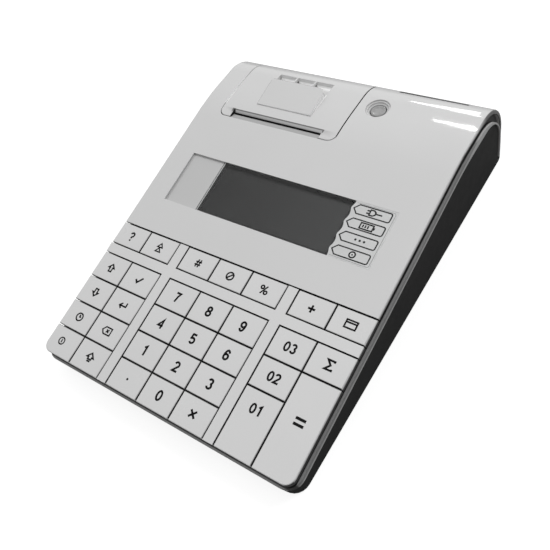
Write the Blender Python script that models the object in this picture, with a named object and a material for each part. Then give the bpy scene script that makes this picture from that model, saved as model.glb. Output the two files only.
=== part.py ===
"""Ticket register: a portable cash register with a keypad, a display and a receipt printer.

Metres, +Z up, +Y towards the rear, +X to the right as the cashier sees it. The origin is on the
ground under the middle of the body. Two empties carry the pieces. Body has its origin at the front
edge of the keys, on the underside of the housing. Face lies on the sloping key face: x across,
y up the face and z out of it.
"""

from math import atan2, cos, pi, radians, sin, tan

import bmesh
import bpy
from mathutils import Vector

# Clearances
GAP = 0.0003
SLIDE_GAP = 0.0002
PIN_GAP = 0.00015
OVERRUN = 0.003
JOIN = 0.0004

# Body
HALF_WIDTH = 0.0786
FRONT_HEIGHT = 0.0164
TOP_HEIGHT = 0.0436
BEND_Y = 0.1679
TILT = atan2(TOP_HEIGHT - FRONT_HEIGHT, BEND_Y)
REAR_Y = 0.2152
REAR_LEAN = radians(6.5)
TOP_RADIUS = 0.150
REAR_RADIUS = 0.0205
FOOT_DROP = 0.0010
TOP_STEPS = 6
REAR_STEPS = 16

# Top cover
COVER_WALL = 0.0020
COVER_REAR_WALL = 0.0018
COVER_FRONT = 0.0806
COVER_END = 0.0045
COVER_EDGE = 0.0007

# Side band
BAND_PROUD = 0.0006
BAND_TOP = 0.0049
BAND_BOTTOM = 0.0085
BAND_FRONT = 0.0016
BAND_REAR_TOP = 0.0021
BAND_REAR_BOTTOM = 0.0031
BAND_RADIUS = 0.0217
BAND_CORNER = 0.0080

# Bottom housing
HOUSING_INSET = 0.0002
HOUSING_FRONT = 0.0014
FLOOR = 0.0020
HOUSING_RADIUS = 0.0164
HOUSING_CORNER = 0.0074
RIM_INSET = 0.0018
RIM_FRONT = 0.0008
RIM_WALL = 0.0020
RIM_RADIUS = 0.0180
RIM_CORNER = 0.0055
FRONT_TOE = 0.0016
REAR_TOE = 0.0020
SILL_DEPTH = 0.0060

# Keypad
RIB_WIDTH = 0.0062
SIDE_TRIM = 0.0004
COLUMN_PITCH = 2 * (HALF_WIDTH + SIDE_TRIM - RIB_WIDTH) / 7
ROW_PITCH = 0.0152
CROSS_RIB = 0.0060
TOP_ROW = 0.0134
KEY_GAP = 0.0006
KEY_CAP = 0.0030
KEY_EDGE = 0.0005
KEY_CORNER = 0.0048
KEY_TRAVEL = 0.0012
PLUNGER_INSET = 0.0044
PLUNGER_REACH = 0.0036
DECK_THICK = 0.0015
MAT_THICK = 0.0006
PAD_WIDTH = 0.0060
PAD_DEPTH = 0.0048
PAD_HEIGHT = 0.0007
KEY_BOARD_THICK = 0.0016
MAT_MARGIN = 0.0052
POST_SIZE = 0.0040

# Display
POCKET_SIDE = 0.0149
POCKET_HALF_WIDTH = HALF_WIDTH - POCKET_SIDE
POCKET_FRONT = 0.1004
POCKET_REAR = 0.1320
POCKET_DEPTH = 0.0012
WINDOW_THICK = 0.0010
POCKET_PANEL = 0.0226
WINDOW_LEFT = POCKET_PANEL - POCKET_HALF_WIDTH
DISPLAY_SIDE = 0.0011
DISPLAY_LEFT = WINDOW_LEFT + DISPLAY_SIDE
LABEL_WIDTH = 0.0237
DISPLAY_RIGHT = POCKET_HALF_WIDTH - LABEL_WIDTH
DISPLAY_MARGIN = 0.0010
DISPLAY_THICK = 0.0046
DISPLAY_BOARD_MARGIN = 0.0030

# Paper lid
PAPER_WIDTH = 0.0575
PAPER_PLAY = 0.0009
LID_SIDE = 0.0144
SLOT_SIDE = 0.0081
GEAR_SIDE = 0.0089
LID_LEFT = LID_SIDE - HALF_WIDTH
SLOT_LEFT = LID_LEFT + SLOT_SIDE
SLOT_RIGHT = SLOT_LEFT + PAPER_WIDTH + 2 * PAPER_PLAY
LID_RIGHT = SLOT_RIGHT + GEAR_SIDE
LID_FRONT = 0.1603
LID_CORNER = 0.0043
LID_GAP = 0.0005
LID_CORNER_STEPS = 6
HINGE_RADIUS = 0.0030
BARREL_INSET = 0.0001
HINGE_HEIGHT = 0.0135
HINGE_PIN_RADIUS = 0.0012
HINGE_BOSS = 0.0026
SLOT_REAR = 0.1659
SLOT_LID_EDGE = 0.1641
SLOT_TONGUE_EDGE = 0.1629
TONGUE_DROP = 0.0014
TONGUE_THICK = 0.0018
SLOT_BEVEL_SHARE = 0.85

# Thumb grip on the lid
GRIP_LEFT_SIDE = 0.0198
GRIP_RIGHT_SIDE = 0.0206
GRIP_LEFT = LID_LEFT + GRIP_LEFT_SIDE
GRIP_RIGHT = LID_RIGHT - GRIP_RIGHT_SIDE
GRIP_FRONT = 0.1701
GRIP_REAR = 0.1885
GRIP_LEFT_CORNER = 0.0015
GRIP_RIGHT_CORNER = 0.0045
GRIP_EDGE = 0.0004
GRIP_HOLLOW_REAR = 0.1962
GRIP_HOLLOW_SLOPE = 0.0020
GRIP_DEPTH = 0.0025
GRIP_RIB = 0.0010
GRIP_WALL = 0.0014

# Platen, carried by the lid
PLATEN_Y = 0.1668
PLATEN_DROP = 0.0096
PLATEN_Z = TOP_HEIGHT - PLATEN_DROP
PLATEN_RADIUS = 0.0050
SHAFT_RADIUS = 0.0015
SHAFT_END = 0.0008
ARM_THICK = 0.0018
ARM_HALF_DEPTH = 0.0033
ARM_GAP = 0.0012

# Gears
MODULE = 0.0005
PLATEN_TEETH = 20
IDLER_TEETH = 30
PINION_TEETH = 12
GEAR_WIDTH = 0.0028
GEAR_SLACK = 0.00006
PRESSURE_ANGLE = radians(20)
TIP_SHARE = 0.95
ROOT_SHARE = 1.25
STUD_RADIUS = 0.0012

# Paper roll and printer frame
FRAME_LIFT = 0.0004
TRAY_WALL = 0.0014
TRAY_FLOOR = FLOOR + FRAME_LIFT + TRAY_WALL
TRAY_PLAY = 0.0010
TRAY_ROUND_PLAY = 0.0015
TRAY_REAR = 0.0101
TRAY_FRONT_HEIGHT = 0.0240
ROLL_HEADROOM = 0.0056
ROLL_TOP = TOP_HEIGHT - GRIP_DEPTH - GRIP_WALL - ROLL_HEADROOM
ROLL_RADIUS = (ROLL_TOP - TRAY_FLOOR - GAP) / 2
ROLL_BORE = 0.0060
TRAY_RADIUS = ROLL_RADIUS + TRAY_ROUND_PLAY
TRAY_Y = REAR_Y - TRAY_REAR - TRAY_WALL - TRAY_RADIUS
CHEEK_THICK = 0.0018
CHEEK_FRONT = 0.1440
CHEEK_REAR = 0.1702
CHEEK_RISE = 0.0010
BASE_THICK = 0.0018
HEAD_THICK = 0.0028
HEAD_RISE = 0.0035
HEAD_FALL = 0.0070
HEAD_WALL_THICK = 0.0022
BRACKET_THICK = 0.0012
MOTOR_RADIUS = 0.0075
MOTOR_LENGTH = 0.0120
MOTOR_SHAFT_RADIUS = 0.00075

# Screw recess and seal plug, right of the lid
SEAL_OUT = 0.0119
SEAL_X = LID_RIGHT + SEAL_OUT
SEAL_Y = 0.1855
SEAL_RECESS_RADIUS = 0.0066
SEAL_CUP_RADIUS = 0.0080
SEAL_CUP_DEPTH = 0.0060
SEAL_DEPTH = 0.0044
SEAL_SLOPE = 0.0010
SEAL_RADIUS = 0.0042
SEAL_HEIGHT = 0.0026
SEAL_RIM = 0.0009
SEAL_DISH = 0.0005

# Customer display on the rear curve
CUSTOMER_OUT = 0.0154
CUSTOMER_SIDE = 0.0131
CUSTOMER_LEFT = LID_RIGHT + CUSTOMER_OUT
CUSTOMER_RIGHT = HALF_WIDTH - CUSTOMER_SIDE
CUSTOMER_TOP_ANGLE = radians(60)
CUSTOMER_LOW_ANGLE = radians(2)
CUSTOMER_THICK = 0.0010
CUSTOMER_LEDGE = 0.0012
CUSTOMER_STEPS = 10
CUSTOMER_DEEP = 0.0040
CUSTOMER_MODULE_HEIGHT = 0.0100

# Main board and its sockets
BOARD_OUT = 0.0039
BOARD_SIDE = 0.0066
BOARD_LEFT = LID_RIGHT + BOARD_OUT
BOARD_RIGHT = HALF_WIDTH - BOARD_SIDE
BOARD_FRONT = 0.1420
BOARD_REAR = 0.2040
BOARD_Z = 0.0045
BOARD_THICK = 0.0016
STANDOFF_RADIUS = 0.0025
STANDOFF_INSET = 0.0050
POWER_BORE = 0.0032
POWER_PIN = 0.0010
DATA_MOUTH_WIDTH = 0.0100
DATA_MOUTH_HEIGHT = 0.0070
SOCKET_WALL = 0.0020
SOCKET_HEIGHT = 0.0100
SOCKET_LENGTH = 0.0130
SOCKET_PITCH = 0.0130
SOCKET_SIDE = 0.0160
POWER_X = BOARD_RIGHT - SOCKET_SIDE
DATA_X = POWER_X - SOCKET_PITCH
SOCKET_BORE_DEPTH = 0.0100

# Battery
BATTERY_HALF_WIDTH = 0.0350
BATTERY_FRONT = 0.0970
BATTERY_REAR = 0.1340
BATTERY_HEADROOM = 0.0041
BATTERY_ROUND = 0.0060
DOOR_MARGIN = 0.0020

# Fasteners and feet
SCREW_HEAD_RADIUS = 0.0027
SCREW_RADIUS = 0.0013
SCREW_LENGTH = 0.0120
SCREW_SEAT = 0.0040
SCREW_BOSS_RADIUS = 0.0044
SCREW_BOSS_TOP = 0.0062
POST_RADIUS = 0.0030
FRONT_SCREW_Y = 0.0150
SIDE_SCREW_IN = 0.0086
SIDE_SCREW_FRONT_Y = 0.0900
SIDE_SCREW_REAR_Y = 0.1340
FOOT_SIDE = 0.0186
FOOT_WIDTH = 0.0080
FOOT_FRONT_Y = 0.0300
FOOT_REAR_Y = 0.1930
FOOT_RECESS = 0.0008
FOOT_ROUND_SHARE = 0.95

PIN_STEPS = 16
FINE_STEPS = 24
ROLL_STEPS = 40


def body_point(y, w):
    """A point of the face's side view, as (y, z) in the body frame."""
    return Vector((y * cos(TILT) - w * sin(TILT), FRONT_HEIGHT + y * sin(TILT) + w * cos(TILT)))


def face_level(y, drop=0.0):
    """Height in the body frame, above a body y on the sloping face, of the face lowered by drop."""
    start = body_point(0, -drop)
    return start.y + (y - start.x) * tan(TILT)


def rear_y(z, inset=0.0):
    """Where the leaning rear wall, moved in by inset, stands at height z."""
    return REAR_Y - (TOP_HEIGHT - z) * tan(REAR_LEAN) - inset / cos(REAR_LEAN)


def round_corner(before, corner, after, radius, steps):
    """The points of the arc that rounds one corner of an outline."""
    to_before = (before - corner).normalized()
    to_after = (after - corner).normalized()
    half = to_before.angle(to_after) / 2
    centre = corner + (to_before + to_after).normalized() * (radius / sin(half))
    start = corner + to_before * (radius / tan(half)) - centre
    end = corner + to_after * (radius / tan(half)) - centre
    first = atan2(start.y, start.x)
    turn = (atan2(end.y, end.x) - first + pi) % (2 * pi) - pi
    angles = [first + turn * step / steps for step in range(steps + 1)]
    return [centre + radius * Vector((cos(angle), sin(angle))) for angle in angles]


def rounded(corners, closed=True):
    """An outline from (point, radius, steps) corners. Zero radius keeps a corner sharp."""
    points = []
    last = len(corners) - 1
    for index, (corner, radius, steps) in enumerate(corners):
        if radius == 0 or (not closed and index in (0, last)):
            points.append(Vector(corner))
            continue
        before = Vector(corners[index - 1][0])
        after = Vector(corners[(index + 1) % len(corners)][0])
        points += round_corner(before, Vector(corner), after, radius, steps)
    return points


def ridge(drop, inset, radius):
    """The corners over the top and the rear, for a skin this far under the outer surface."""
    level = TOP_HEIGHT - drop
    start = body_point(0, -drop)
    bend = Vector((start.x + (level - start.y) / tan(TILT), level))
    shoulder = Vector((rear_y(level, inset), level))
    return [(bend, TOP_RADIUS - drop, TOP_STEPS), (shoulder, radius, REAR_STEPS)]


def full_outline(drop, inset, front, radius):
    """The closed side view of a body whose top lies drop under the face and whose front is at front."""
    top = body_point(front, -drop)
    toe_depth = top.y / cos(TILT)
    toe = Vector((top.x + toe_depth * sin(TILT), 0))
    corners = [(toe, FRONT_TOE, 4), (top, 0, 0)]
    corners += ridge(drop, inset, radius)
    corners.append((Vector((rear_y(0, inset), 0)), 0, 0))
    return rounded(corners)


def skin_path(drop, inset, radius, start_y, end_z):
    """An open path over the top from face y = start_y to height end_z on the rear wall."""
    corners = [(body_point(start_y, -drop), 0, 0)]
    corners += ridge(drop, inset, radius)
    corners.append((Vector((rear_y(end_z, inset), end_z)), 0, 0))
    return rounded(corners, closed=False)


def sheet_outline(start_y, end_z):
    """The side view of the cover's sheet: its outer path and its inner path back."""
    outer = skin_path(0, 0, REAR_RADIUS, start_y, end_z)
    inner = skin_path(COVER_WALL, COVER_REAR_WALL, REAR_RADIUS - COVER_REAR_WALL, start_y, end_z)
    return outer + inner[::-1]


def place_ring(bm, outline, level, axis):
    """The vertices of an outline across X with (y, z), across Y with (x, z) or across Z with (x, y)."""
    places = {
        "X": [(level, a, b) for a, b in outline],
        "Y": [(a, level, b) for a, b in outline],
        "Z": [(a, b, level) for a, b in outline],
    }
    return [bm.verts.new(place) for place in places[axis]]


def prism(outline, low, high, axis="X"):
    """A closed mesh: an outline swept along an axis between two levels."""
    bm = bmesh.new()
    rings = [place_ring(bm, outline, level, axis) for level in (low, high)]
    for ring in rings:
        bm.faces.new(ring)
    for index in range(len(outline)):
        after = (index + 1) % len(outline)
        bm.faces.new((rings[0][index], rings[0][after], rings[1][after], rings[1][index]))
    bmesh.ops.recalc_face_normals(bm, faces=bm.faces)
    return bm


def block(x, y, z):
    """A box between the (low, high) pairs x, y and z."""
    return prism([(x[0], y[0]), (x[1], y[0]), (x[1], y[1]), (x[0], y[1])], z[0], z[1], "Z")


def circle(centre, radius, steps, start=0.0):
    """The points of a circle in the outline plane."""
    angles = [start + 2 * pi * step / steps for step in range(steps)]
    return [Vector((centre[0] + radius * cos(a), centre[1] + radius * sin(a))) for a in angles]


def rod(centre, radius, low, high, axis="X", steps=PIN_STEPS):
    """A round bar along X at (y, z), or along Z at (x, y)."""
    return prism(circle(centre, radius, steps), low, high, axis)


def tube(centre, radius, bore, low, high, axis="X", steps=PIN_STEPS):
    """A round bar with a hole along its axis."""
    return ring_prism(circle(centre, radius, steps), circle(centre, bore, steps), low, high, axis)


def ring_prism(outer, inner, low, high, axis="X"):
    """A closed mesh between an outline and a hole, which has as many points or divides them evenly."""
    bm = bmesh.new()
    rings = [
        place_ring(bm, outline, level, axis) for outline in (outer, inner) for level in (low, high)
    ]
    for ring in (rings[:2], rings[2:]):
        for index in range(len(ring[0])):
            after = (index + 1) % len(ring[0])
            bm.faces.new((ring[0][index], ring[0][after], ring[1][after], ring[1][index]))
    share = len(outer) // len(inner)
    for level in (0, 1):
        outside = rings[level]
        inside = rings[2 + level]
        for index in range(len(inside)):
            stretch = [outside[(index * share + step) % len(outside)] for step in range(share + 1)]
            bm.faces.new([*stretch, inside[(index + 1) % len(inside)], inside[index]])
    bmesh.ops.recalc_face_normals(bm, faces=bm.faces)
    return bm


def bevel_edges(bm, wanted, width, steps):
    """Rounds the edges for which wanted(start, end) holds."""
    edges = [edge for edge in bm.edges if wanted(edge.verts[0].co, edge.verts[1].co)]
    bmesh.ops.bevel(bm, geom=edges, offset=width, segments=steps, profile=0.5, affect="EDGES")
    bmesh.ops.recalc_face_normals(bm, faces=bm.faces)
    return bm


def merged(parts):
    """One mesh that holds several separate solids."""
    whole = bmesh.new()
    for part in parts:
        spare = bpy.data.meshes.new("spare")
        part.to_mesh(spare)
        part.free()
        whole.from_mesh(spare)
        bpy.data.meshes.remove(spare)
    return whole


def material(name, colour, roughness, metallic=0.0):
    """A Principled material."""
    made = bpy.data.materials.get(name) or bpy.data.materials.new(name)
    made.use_nodes = True
    shader = made.node_tree.nodes["Principled BSDF"]
    shader.inputs["Base Color"].default_value = (*colour, 1.0)
    shader.inputs["Roughness"].default_value = roughness
    shader.inputs["Metallic"].default_value = metallic
    made.diffuse_color = (*colour, 1.0)
    return made


def white_plastic():
    return material("white_plastic", (0.62, 0.62, 0.61), 0.35)


def band_plastic():
    return material("band_plastic", (0.34, 0.34, 0.34), 0.4)


def dark_plastic():
    return material("dark_plastic", (0.035, 0.035, 0.037), 0.5)


def frame_plastic():
    return material("frame_plastic", (0.02, 0.02, 0.02), 0.55)


def clear_plastic():
    return material("clear_plastic", (0.10, 0.11, 0.12), 0.1)


def display_glass():
    return material("display_glass", (0.07, 0.08, 0.08), 0.15)


def dark_glass():
    return material("dark_glass", (0.01, 0.01, 0.012), 0.1)


def rubber():
    return material("rubber", (0.02, 0.02, 0.02), 0.85)


def grey_rubber():
    return material("grey_rubber", (0.25, 0.26, 0.27), 0.8)


def board_laminate():
    return material("board_laminate", (0.02, 0.12, 0.05), 0.45)


def steel():
    return material("steel", (0.55, 0.56, 0.57), 0.3, 1.0)


def aluminium():
    return material("aluminium", (0.60, 0.61, 0.62), 0.4, 1.0)


def gear_plastic():
    return material("gear_plastic", (0.72, 0.70, 0.64), 0.45)


def paper():
    return material("paper", (0.80, 0.80, 0.78), 0.9)


def battery_wrap():
    return material("battery_wrap", (0.03, 0.07, 0.20), 0.35)


def socket_plastic():
    return material("socket_plastic", (0.015, 0.015, 0.015), 0.4)


def seal_plastic():
    return material("seal_plastic", (0.42, 0.42, 0.42), 0.4)


def clear_scene():
    """Removes whatever the scene holds."""
    for old in list(bpy.data.objects):
        bpy.data.objects.remove(old, do_unlink=True)


def add_empty(name, parent, location, turn=0.0):
    """An empty that carries pieces, turned about X."""
    empty = bpy.data.objects.new(name, None)
    bpy.context.scene.collection.objects.link(empty)
    empty.parent = parent
    empty.location = location
    empty.rotation_euler = (turn, 0, 0)
    return empty


def add_piece(name, bm, surface, parent, location=(0, 0, 0)):
    """A named object from a mesh given in its parent's frame, with its own origin at location."""
    bmesh.ops.translate(bm, verts=bm.verts, vec=-Vector(location))
    mesh = bpy.data.meshes.new(name)
    bm.to_mesh(mesh)
    bm.free()
    mesh.shade_smooth()
    mesh.set_sharp_from_angle(angle=radians(30))
    mesh.materials.append(surface)
    piece = bpy.data.objects.new(name, mesh)
    bpy.context.scene.collection.objects.link(piece)
    piece.parent = parent
    piece.location = location
    return piece


def combine(piece, operation, bm, parent=None):
    """Joins a mesh to a piece, cuts it out, or keeps only what both hold."""
    tool = bpy.data.objects.new(f"{piece.name}_{operation.lower()}", bpy.data.meshes.new("tool"))
    bm.to_mesh(tool.data)
    bm.free()
    bpy.context.scene.collection.objects.link(tool)
    tool.parent = parent or piece.parent
    tool.hide_render = True
    tool.hide_set(True)
    tool.display_type = "WIRE"
    modifier = piece.modifiers.new(operation.lower(), "BOOLEAN")
    modifier.operation = operation
    modifier.solver = "EXACT"
    modifier.object = tool
    return tool


def cut(piece, bm, parent=None):
    return combine(piece, "DIFFERENCE", bm, parent)


def join(piece, bm, parent=None):
    return combine(piece, "UNION", bm, parent)


def housing_outline():
    """The housing's outer side view, under the band."""
    drop = BAND_BOTTOM + GAP
    return full_outline(drop, BAND_REAR_BOTTOM + GAP, -HOUSING_FRONT, HOUSING_RADIUS - GAP)


def plan_outline(half_width, front, rear, radius, steps=6):
    """The plan of a body with two round front corners, in face x and y."""
    return rounded(
        [
            ((-half_width, front), radius, steps),
            ((half_width, front), radius, steps),
            ((half_width, rear), 0, 0),
            ((-half_width, rear), 0, 0),
        ]
    )


def screw_places():
    """Where the housing screws stand, in body x and y: at the keypad, then at the cover."""
    rib = (COLUMN_PITCH * 3 + RIB_WIDTH) / 2
    keypad = [(side * rib, FRONT_SCREW_Y) for side in (-1, 1)]
    cover = [
        (side * (HALF_WIDTH - SIDE_SCREW_IN), y)
        for side in (-1, 1)
        for y in (SIDE_SCREW_FRONT_Y, SIDE_SCREW_REAR_Y)
    ]
    return keypad, cover


def foot_plan(y, margin):
    """A rubber strip's plan across the underside, with round ends, widened by a margin."""
    long = HALF_WIDTH - FOOT_SIDE + margin
    wide = FOOT_WIDTH / 2 + margin
    corners = [(-long, y - wide), (long, y - wide), (long, y + wide), (-long, y + wide)]
    return rounded([(corner, wide * FOOT_ROUND_SHARE, 5) for corner in corners])


def standoff_places():
    return [
        (x, y)
        for x in (BOARD_LEFT + STANDOFF_INSET, BOARD_RIGHT - STANDOFF_INSET)
        for y in (BOARD_FRONT + STANDOFF_INSET, BOARD_REAR - STANDOFF_INSET)
    ]


def turned(centre, profile, steps=FINE_STEPS):
    """A closed mesh turned about Z at (x, y): the profile is (radius, z) from the top down."""
    bm = bmesh.new()
    rings = []
    for radius, z in profile:
        rings.append([bm.verts.new((x, y, z)) for x, y in circle(centre, radius, steps)])
    for upper, lower in zip(rings, rings[1:]):
        for index in range(steps):
            after = (index + 1) % steps
            bm.faces.new((upper[index], upper[after], lower[after], lower[index]))
    bm.faces.new(rings[0])
    bm.faces.new(rings[-1])
    bmesh.ops.recalc_face_normals(bm, faces=bm.faces)
    return bm


def sector(centre, inner, outer, low, high, steps):
    """The outline of a curved strip round a centre, between two radii and two angles."""
    angles = [low + (high - low) * step / steps for step in range(steps + 1)]
    outside = [Vector((cos(a), sin(a))) * outer + centre for a in angles]
    inside = [Vector((cos(a), sin(a))) * inner + centre for a in reversed(angles)]
    return outside + inside


def far():
    """A reach that clears the whole body."""
    return rear_y(TOP_HEIGHT) + TOP_HEIGHT


def rear_centre():
    """The middle of the round shoulder over the rear, as body (y, z)."""
    run = REAR_RADIUS * tan((pi / 2 + REAR_LEAN) / 2)
    return Vector((rear_y(TOP_HEIGHT) - run, TOP_HEIGHT - REAR_RADIUS))


def hinge_centre():
    """The lid's hinge axis, whose barrel touches the rear wall's surface from inside."""
    touch = HINGE_HEIGHT - HINGE_RADIUS * sin(REAR_LEAN)
    return Vector((rear_y(touch) - HINGE_RADIUS * cos(REAR_LEAN), HINGE_HEIGHT))


def paper_sides():
    """The paper's left and right edges in x."""
    return SLOT_LEFT + PAPER_PLAY, SLOT_RIGHT - PAPER_PLAY


def arm_spans():
    """Where the lid's two platen arms stand in x."""
    left, right = paper_sides()
    return (left - ARM_GAP - ARM_THICK, left - ARM_GAP), (right + ARM_GAP, right + ARM_GAP + ARM_THICK)


def gear_span():
    """Where the gears stand in x, outside the left arm."""
    high = arm_spans()[0][0] - SHAFT_END
    return high - GEAR_WIDTH, high


def cheek_spans():
    """Where the printer frame's side plates stand in x."""
    left = gear_span()[0] - SHAFT_END
    right = arm_spans()[1][1] + 2 * SHAFT_END
    return (left - CHEEK_THICK, left), (right, right + CHEEK_THICK)


def pitch_radius(teeth):
    return MODULE * teeth / 2


def platen_centre():
    return Vector((PLATEN_Y, PLATEN_Z))


def idler_centre():
    """The idler stands where the platen gear leaves it straight when the lid opens."""
    swing = platen_centre() - hinge_centre()
    leave = Vector((swing.y, -swing.x)).normalized()
    return platen_centre() - leave * (pitch_radius(PLATEN_TEETH) + pitch_radius(IDLER_TEETH))


def pinion_centre():
    reach = pitch_radius(IDLER_TEETH) + pitch_radius(PINION_TEETH)
    return idler_centre() - Vector((reach, 0))


def bearing(start, end):
    return atan2(end.y - start.y, end.x - start.x)


def idler_phase():
    """The angle of one idler tooth, set so that a gap of the idler faces a platen gear tooth."""
    return bearing(idler_centre(), platen_centre()) + pi / IDLER_TEETH


def pinion_phase():
    """The angle of one pinion tooth, in mesh with the idler as the idler stands."""
    line = bearing(idler_centre(), pinion_centre())
    pitch = 2 * pi / IDLER_TEETH
    ahead = (idler_phase() - line) % pitch
    return line + pi - ahead * IDLER_TEETH / PINION_TEETH + pi / PINION_TEETH


def gear_outline(centre, teeth, phase):
    """A spur gear's outline: four points a tooth, with flanks that lean like a 20 degree rack."""
    points = []
    pitch = pitch_radius(teeth)
    tip = pitch + MODULE * TIP_SHARE
    root = pitch - MODULE * ROOT_SHARE
    half = pi * MODULE / 4 - GEAR_SLACK
    lean = tan(PRESSURE_ANGLE)
    tip_half = (half - (tip - pitch) * lean) / tip
    root_half = (half + (pitch - root) * lean) / root
    for tooth in range(teeth):
        middle = phase + 2 * pi * tooth / teeth
        for radius, offset in ((root, -root_half), (tip, -tip_half), (tip, tip_half), (root, root_half)):
            angle = middle + offset
            points.append(Vector((centre.x + radius * cos(angle), centre.y + radius * sin(angle))))
    return points


def gear(centre, teeth, phase, bore, span):
    """A spur gear along X with a round bore of half as many points as its outline."""
    hole = circle(centre, bore, teeth, phase - pi / teeth)
    return ring_prism(gear_outline(centre, teeth, phase), hole, span[0], span[1])


def column_edges():
    """The keys' side edges in x for the left, middle and right blocks."""
    middle = COLUMN_PITCH * 3 / 2
    inner = middle + RIB_WIDTH
    return {
        "left": (-HALF_WIDTH, -inner - COLUMN_PITCH, -inner),
        "middle": (-middle, -middle + COLUMN_PITCH, middle - COLUMN_PITCH, middle),
        "right": (inner, inner + COLUMN_PITCH, HALF_WIDTH),
    }


def row_edges():
    """The keys' front and rear edges in y: four rows, then the top row past the cross rib."""
    rows = [(ROW_PITCH * row, ROW_PITCH * (row + 1)) for row in range(4)]
    start = ROW_PITCH * 4 + CROSS_RIB
    return [*rows, (start, start + TOP_ROW)]


# The keys of each block, in rows from the front. A tall key stands in each of its rows.
KEY_ROWS = {
    "left": (
        ("key_power", "key_shift"),
        ("key_clock", "key_clear"),
        ("key_down", "key_back"),
        ("key_up", "key_enter"),
        ("key_help", "key_feed"),
    ),
    "middle": (
        ("key_point", "key_0", "key_quantity"),
        ("key_1", "key_2", "key_3"),
        ("key_4", "key_5", "key_6"),
        ("key_7", "key_8", "key_9"),
        ("key_item", "key_void", "key_percent"),
    ),
    "right": (
        ("key_group_1", "key_total"),
        ("key_group_1", "key_total"),
        ("key_group_2", "key_total"),
        ("key_group_3", "key_subtotal"),
        ("key_markup", "key_payment"),
    ),
}


def key_places():
    """Each key's name, with its block, its column, its front row and its rear row."""
    places = {}
    for block_name, rows in KEY_ROWS.items():
        for row, names in enumerate(rows):
            for column, name in enumerate(names):
                first = places[name][2] if name in places else row
                places[name] = (block_name, column, first, row)
    return places


def key_bounds(block_name, column, front_row, rear_row):
    """A key's edges (left, right, front, rear) in face x and y, with half a gap at each seam."""
    edges = column_edges()[block_name]
    left, right = edges[column], edges[column + 1]
    front = row_edges()[front_row][0]
    rear = row_edges()[rear_row][1]
    if left > -HALF_WIDTH:
        left += KEY_GAP / 2
    if right < HALF_WIDTH:
        right -= KEY_GAP / 2
    if front > 0:
        front += KEY_GAP / 2
    return left, right, front, rear - KEY_GAP / 2


def plunger_bounds(bounds, margin=0.0):
    """The plunger's edges under a key, widened by a margin for the hole that guides it."""
    left, right, front, rear = bounds
    inset = PLUNGER_INSET - margin
    return left + inset, right - inset, front + inset, rear - inset


def deck_top():
    return -(KEY_CAP + KEY_TRAVEL + GAP)


def deck_bottom():
    return deck_top() - DECK_THICK


def pad_top():
    return -(KEY_CAP + PLUNGER_REACH + KEY_TRAVEL + GAP)


def mat_top():
    return pad_top() - PAD_HEIGHT


def key_board_top():
    return mat_top() - MAT_THICK - GAP


def keypad_rear():
    return row_edges()[4][1]


def make_key(name, bounds, face):
    """A key: a cap with rounded upper edges, and a plunger under it that the deck guides."""
    left, right, front, rear = bounds
    corner = {"key_power": 0, "key_total": 1}.get(name)
    plan = [(left, front), (right, front), (right, rear), (left, rear)]
    corners = [(point, KEY_CORNER if i == corner else 0, 6) for i, point in enumerate(plan)]
    bm = prism(rounded(corners), -KEY_CAP, 0, "Z")
    bevel_edges(bm, lambda start, end: start.z == end.z == 0, KEY_EDGE, 2)
    under = min(bm.faces, key=lambda each: each.calc_center_median().z)
    bmesh.ops.inset_region(bm, faces=[under], thickness=PLUNGER_INSET, use_even_offset=True)
    grown = bmesh.ops.extrude_face_region(bm, geom=[under])
    tip = [each for each in grown["geom"] if isinstance(each, bmesh.types.BMVert)]
    bmesh.ops.translate(bm, verts=tip, vec=(0, 0, -PLUNGER_REACH))
    if under.is_valid:
        bmesh.ops.delete(bm, geom=[under], context="FACES_ONLY")
    bmesh.ops.recalc_face_normals(bm, faces=bm.faces)
    middle = ((left + right) / 2, (front + rear) / 2, 0)
    return add_piece(name, bm, white_plastic(), face, middle)


def make_keys(face):
    for name, place in key_places().items():
        make_key(name, key_bounds(*place), face)


def make_key_frame(body, face):
    """The ribs between the key blocks, on a deck with a hole for each plunger."""
    edges = column_edges()
    half = HALF_WIDTH - RIM_INSET
    rear = COVER_FRONT - GAP
    deck = plan_outline(half, RIM_FRONT, rear, RIM_CORNER)
    bm = prism(deck, deck_bottom(), deck_top(), "Z")
    frame = add_piece("key_frame", bm, white_plastic(), face)
    foot = deck_top() - JOIN
    ribs = [
        (edges["left"][-1] + KEY_GAP / 2, edges["middle"][0] - KEY_GAP / 2),
        (edges["middle"][-1] + KEY_GAP / 2, edges["right"][0] - KEY_GAP / 2),
    ]
    for rib in ribs:
        join(frame, block(rib, (RIM_FRONT, keypad_rear() - KEY_GAP / 2), (foot, 0)))
        join(frame, block(rib, (0, RIM_FRONT + JOIN), (-KEY_CAP, 0)))
    cross = (row_edges()[3][1] + KEY_GAP / 2, row_edges()[4][0] - KEY_GAP / 2)
    join(frame, block((-half, half), cross, (foot, 0)))
    join(frame, block((-HALF_WIDTH, HALF_WIDTH), cross, (-KEY_CAP, 0)))
    holes = []
    through = (deck_bottom() - OVERRUN, deck_top() + JOIN)
    for place in key_places().values():
        left, right, front, back = plunger_bounds(key_bounds(*place), SLIDE_GAP)
        holes.append(block((left, right), (front, back), through))
    cut(frame, merged(holes))
    for x, y in post_places():
        span = [(edge - POST_SIZE / 2, edge + POST_SIZE / 2) for edge in (x, y)]
        join(frame, block(*span, (mat_top() + GAP, deck_bottom() + JOIN)))
    for x, y in screw_places()[0]:
        low = SCREW_BOSS_TOP + GAP
        high = face_level(y, -deck_bottom()) + JOIN
        join(frame, rod((x, y), POST_RADIUS, low, high, "Z", FINE_STEPS), body)
        cut(frame, rod((x, y), SCREW_RADIUS + PIN_GAP, low - JOIN, screw_tip() + GAP, "Z"), body)
    return frame


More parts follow.
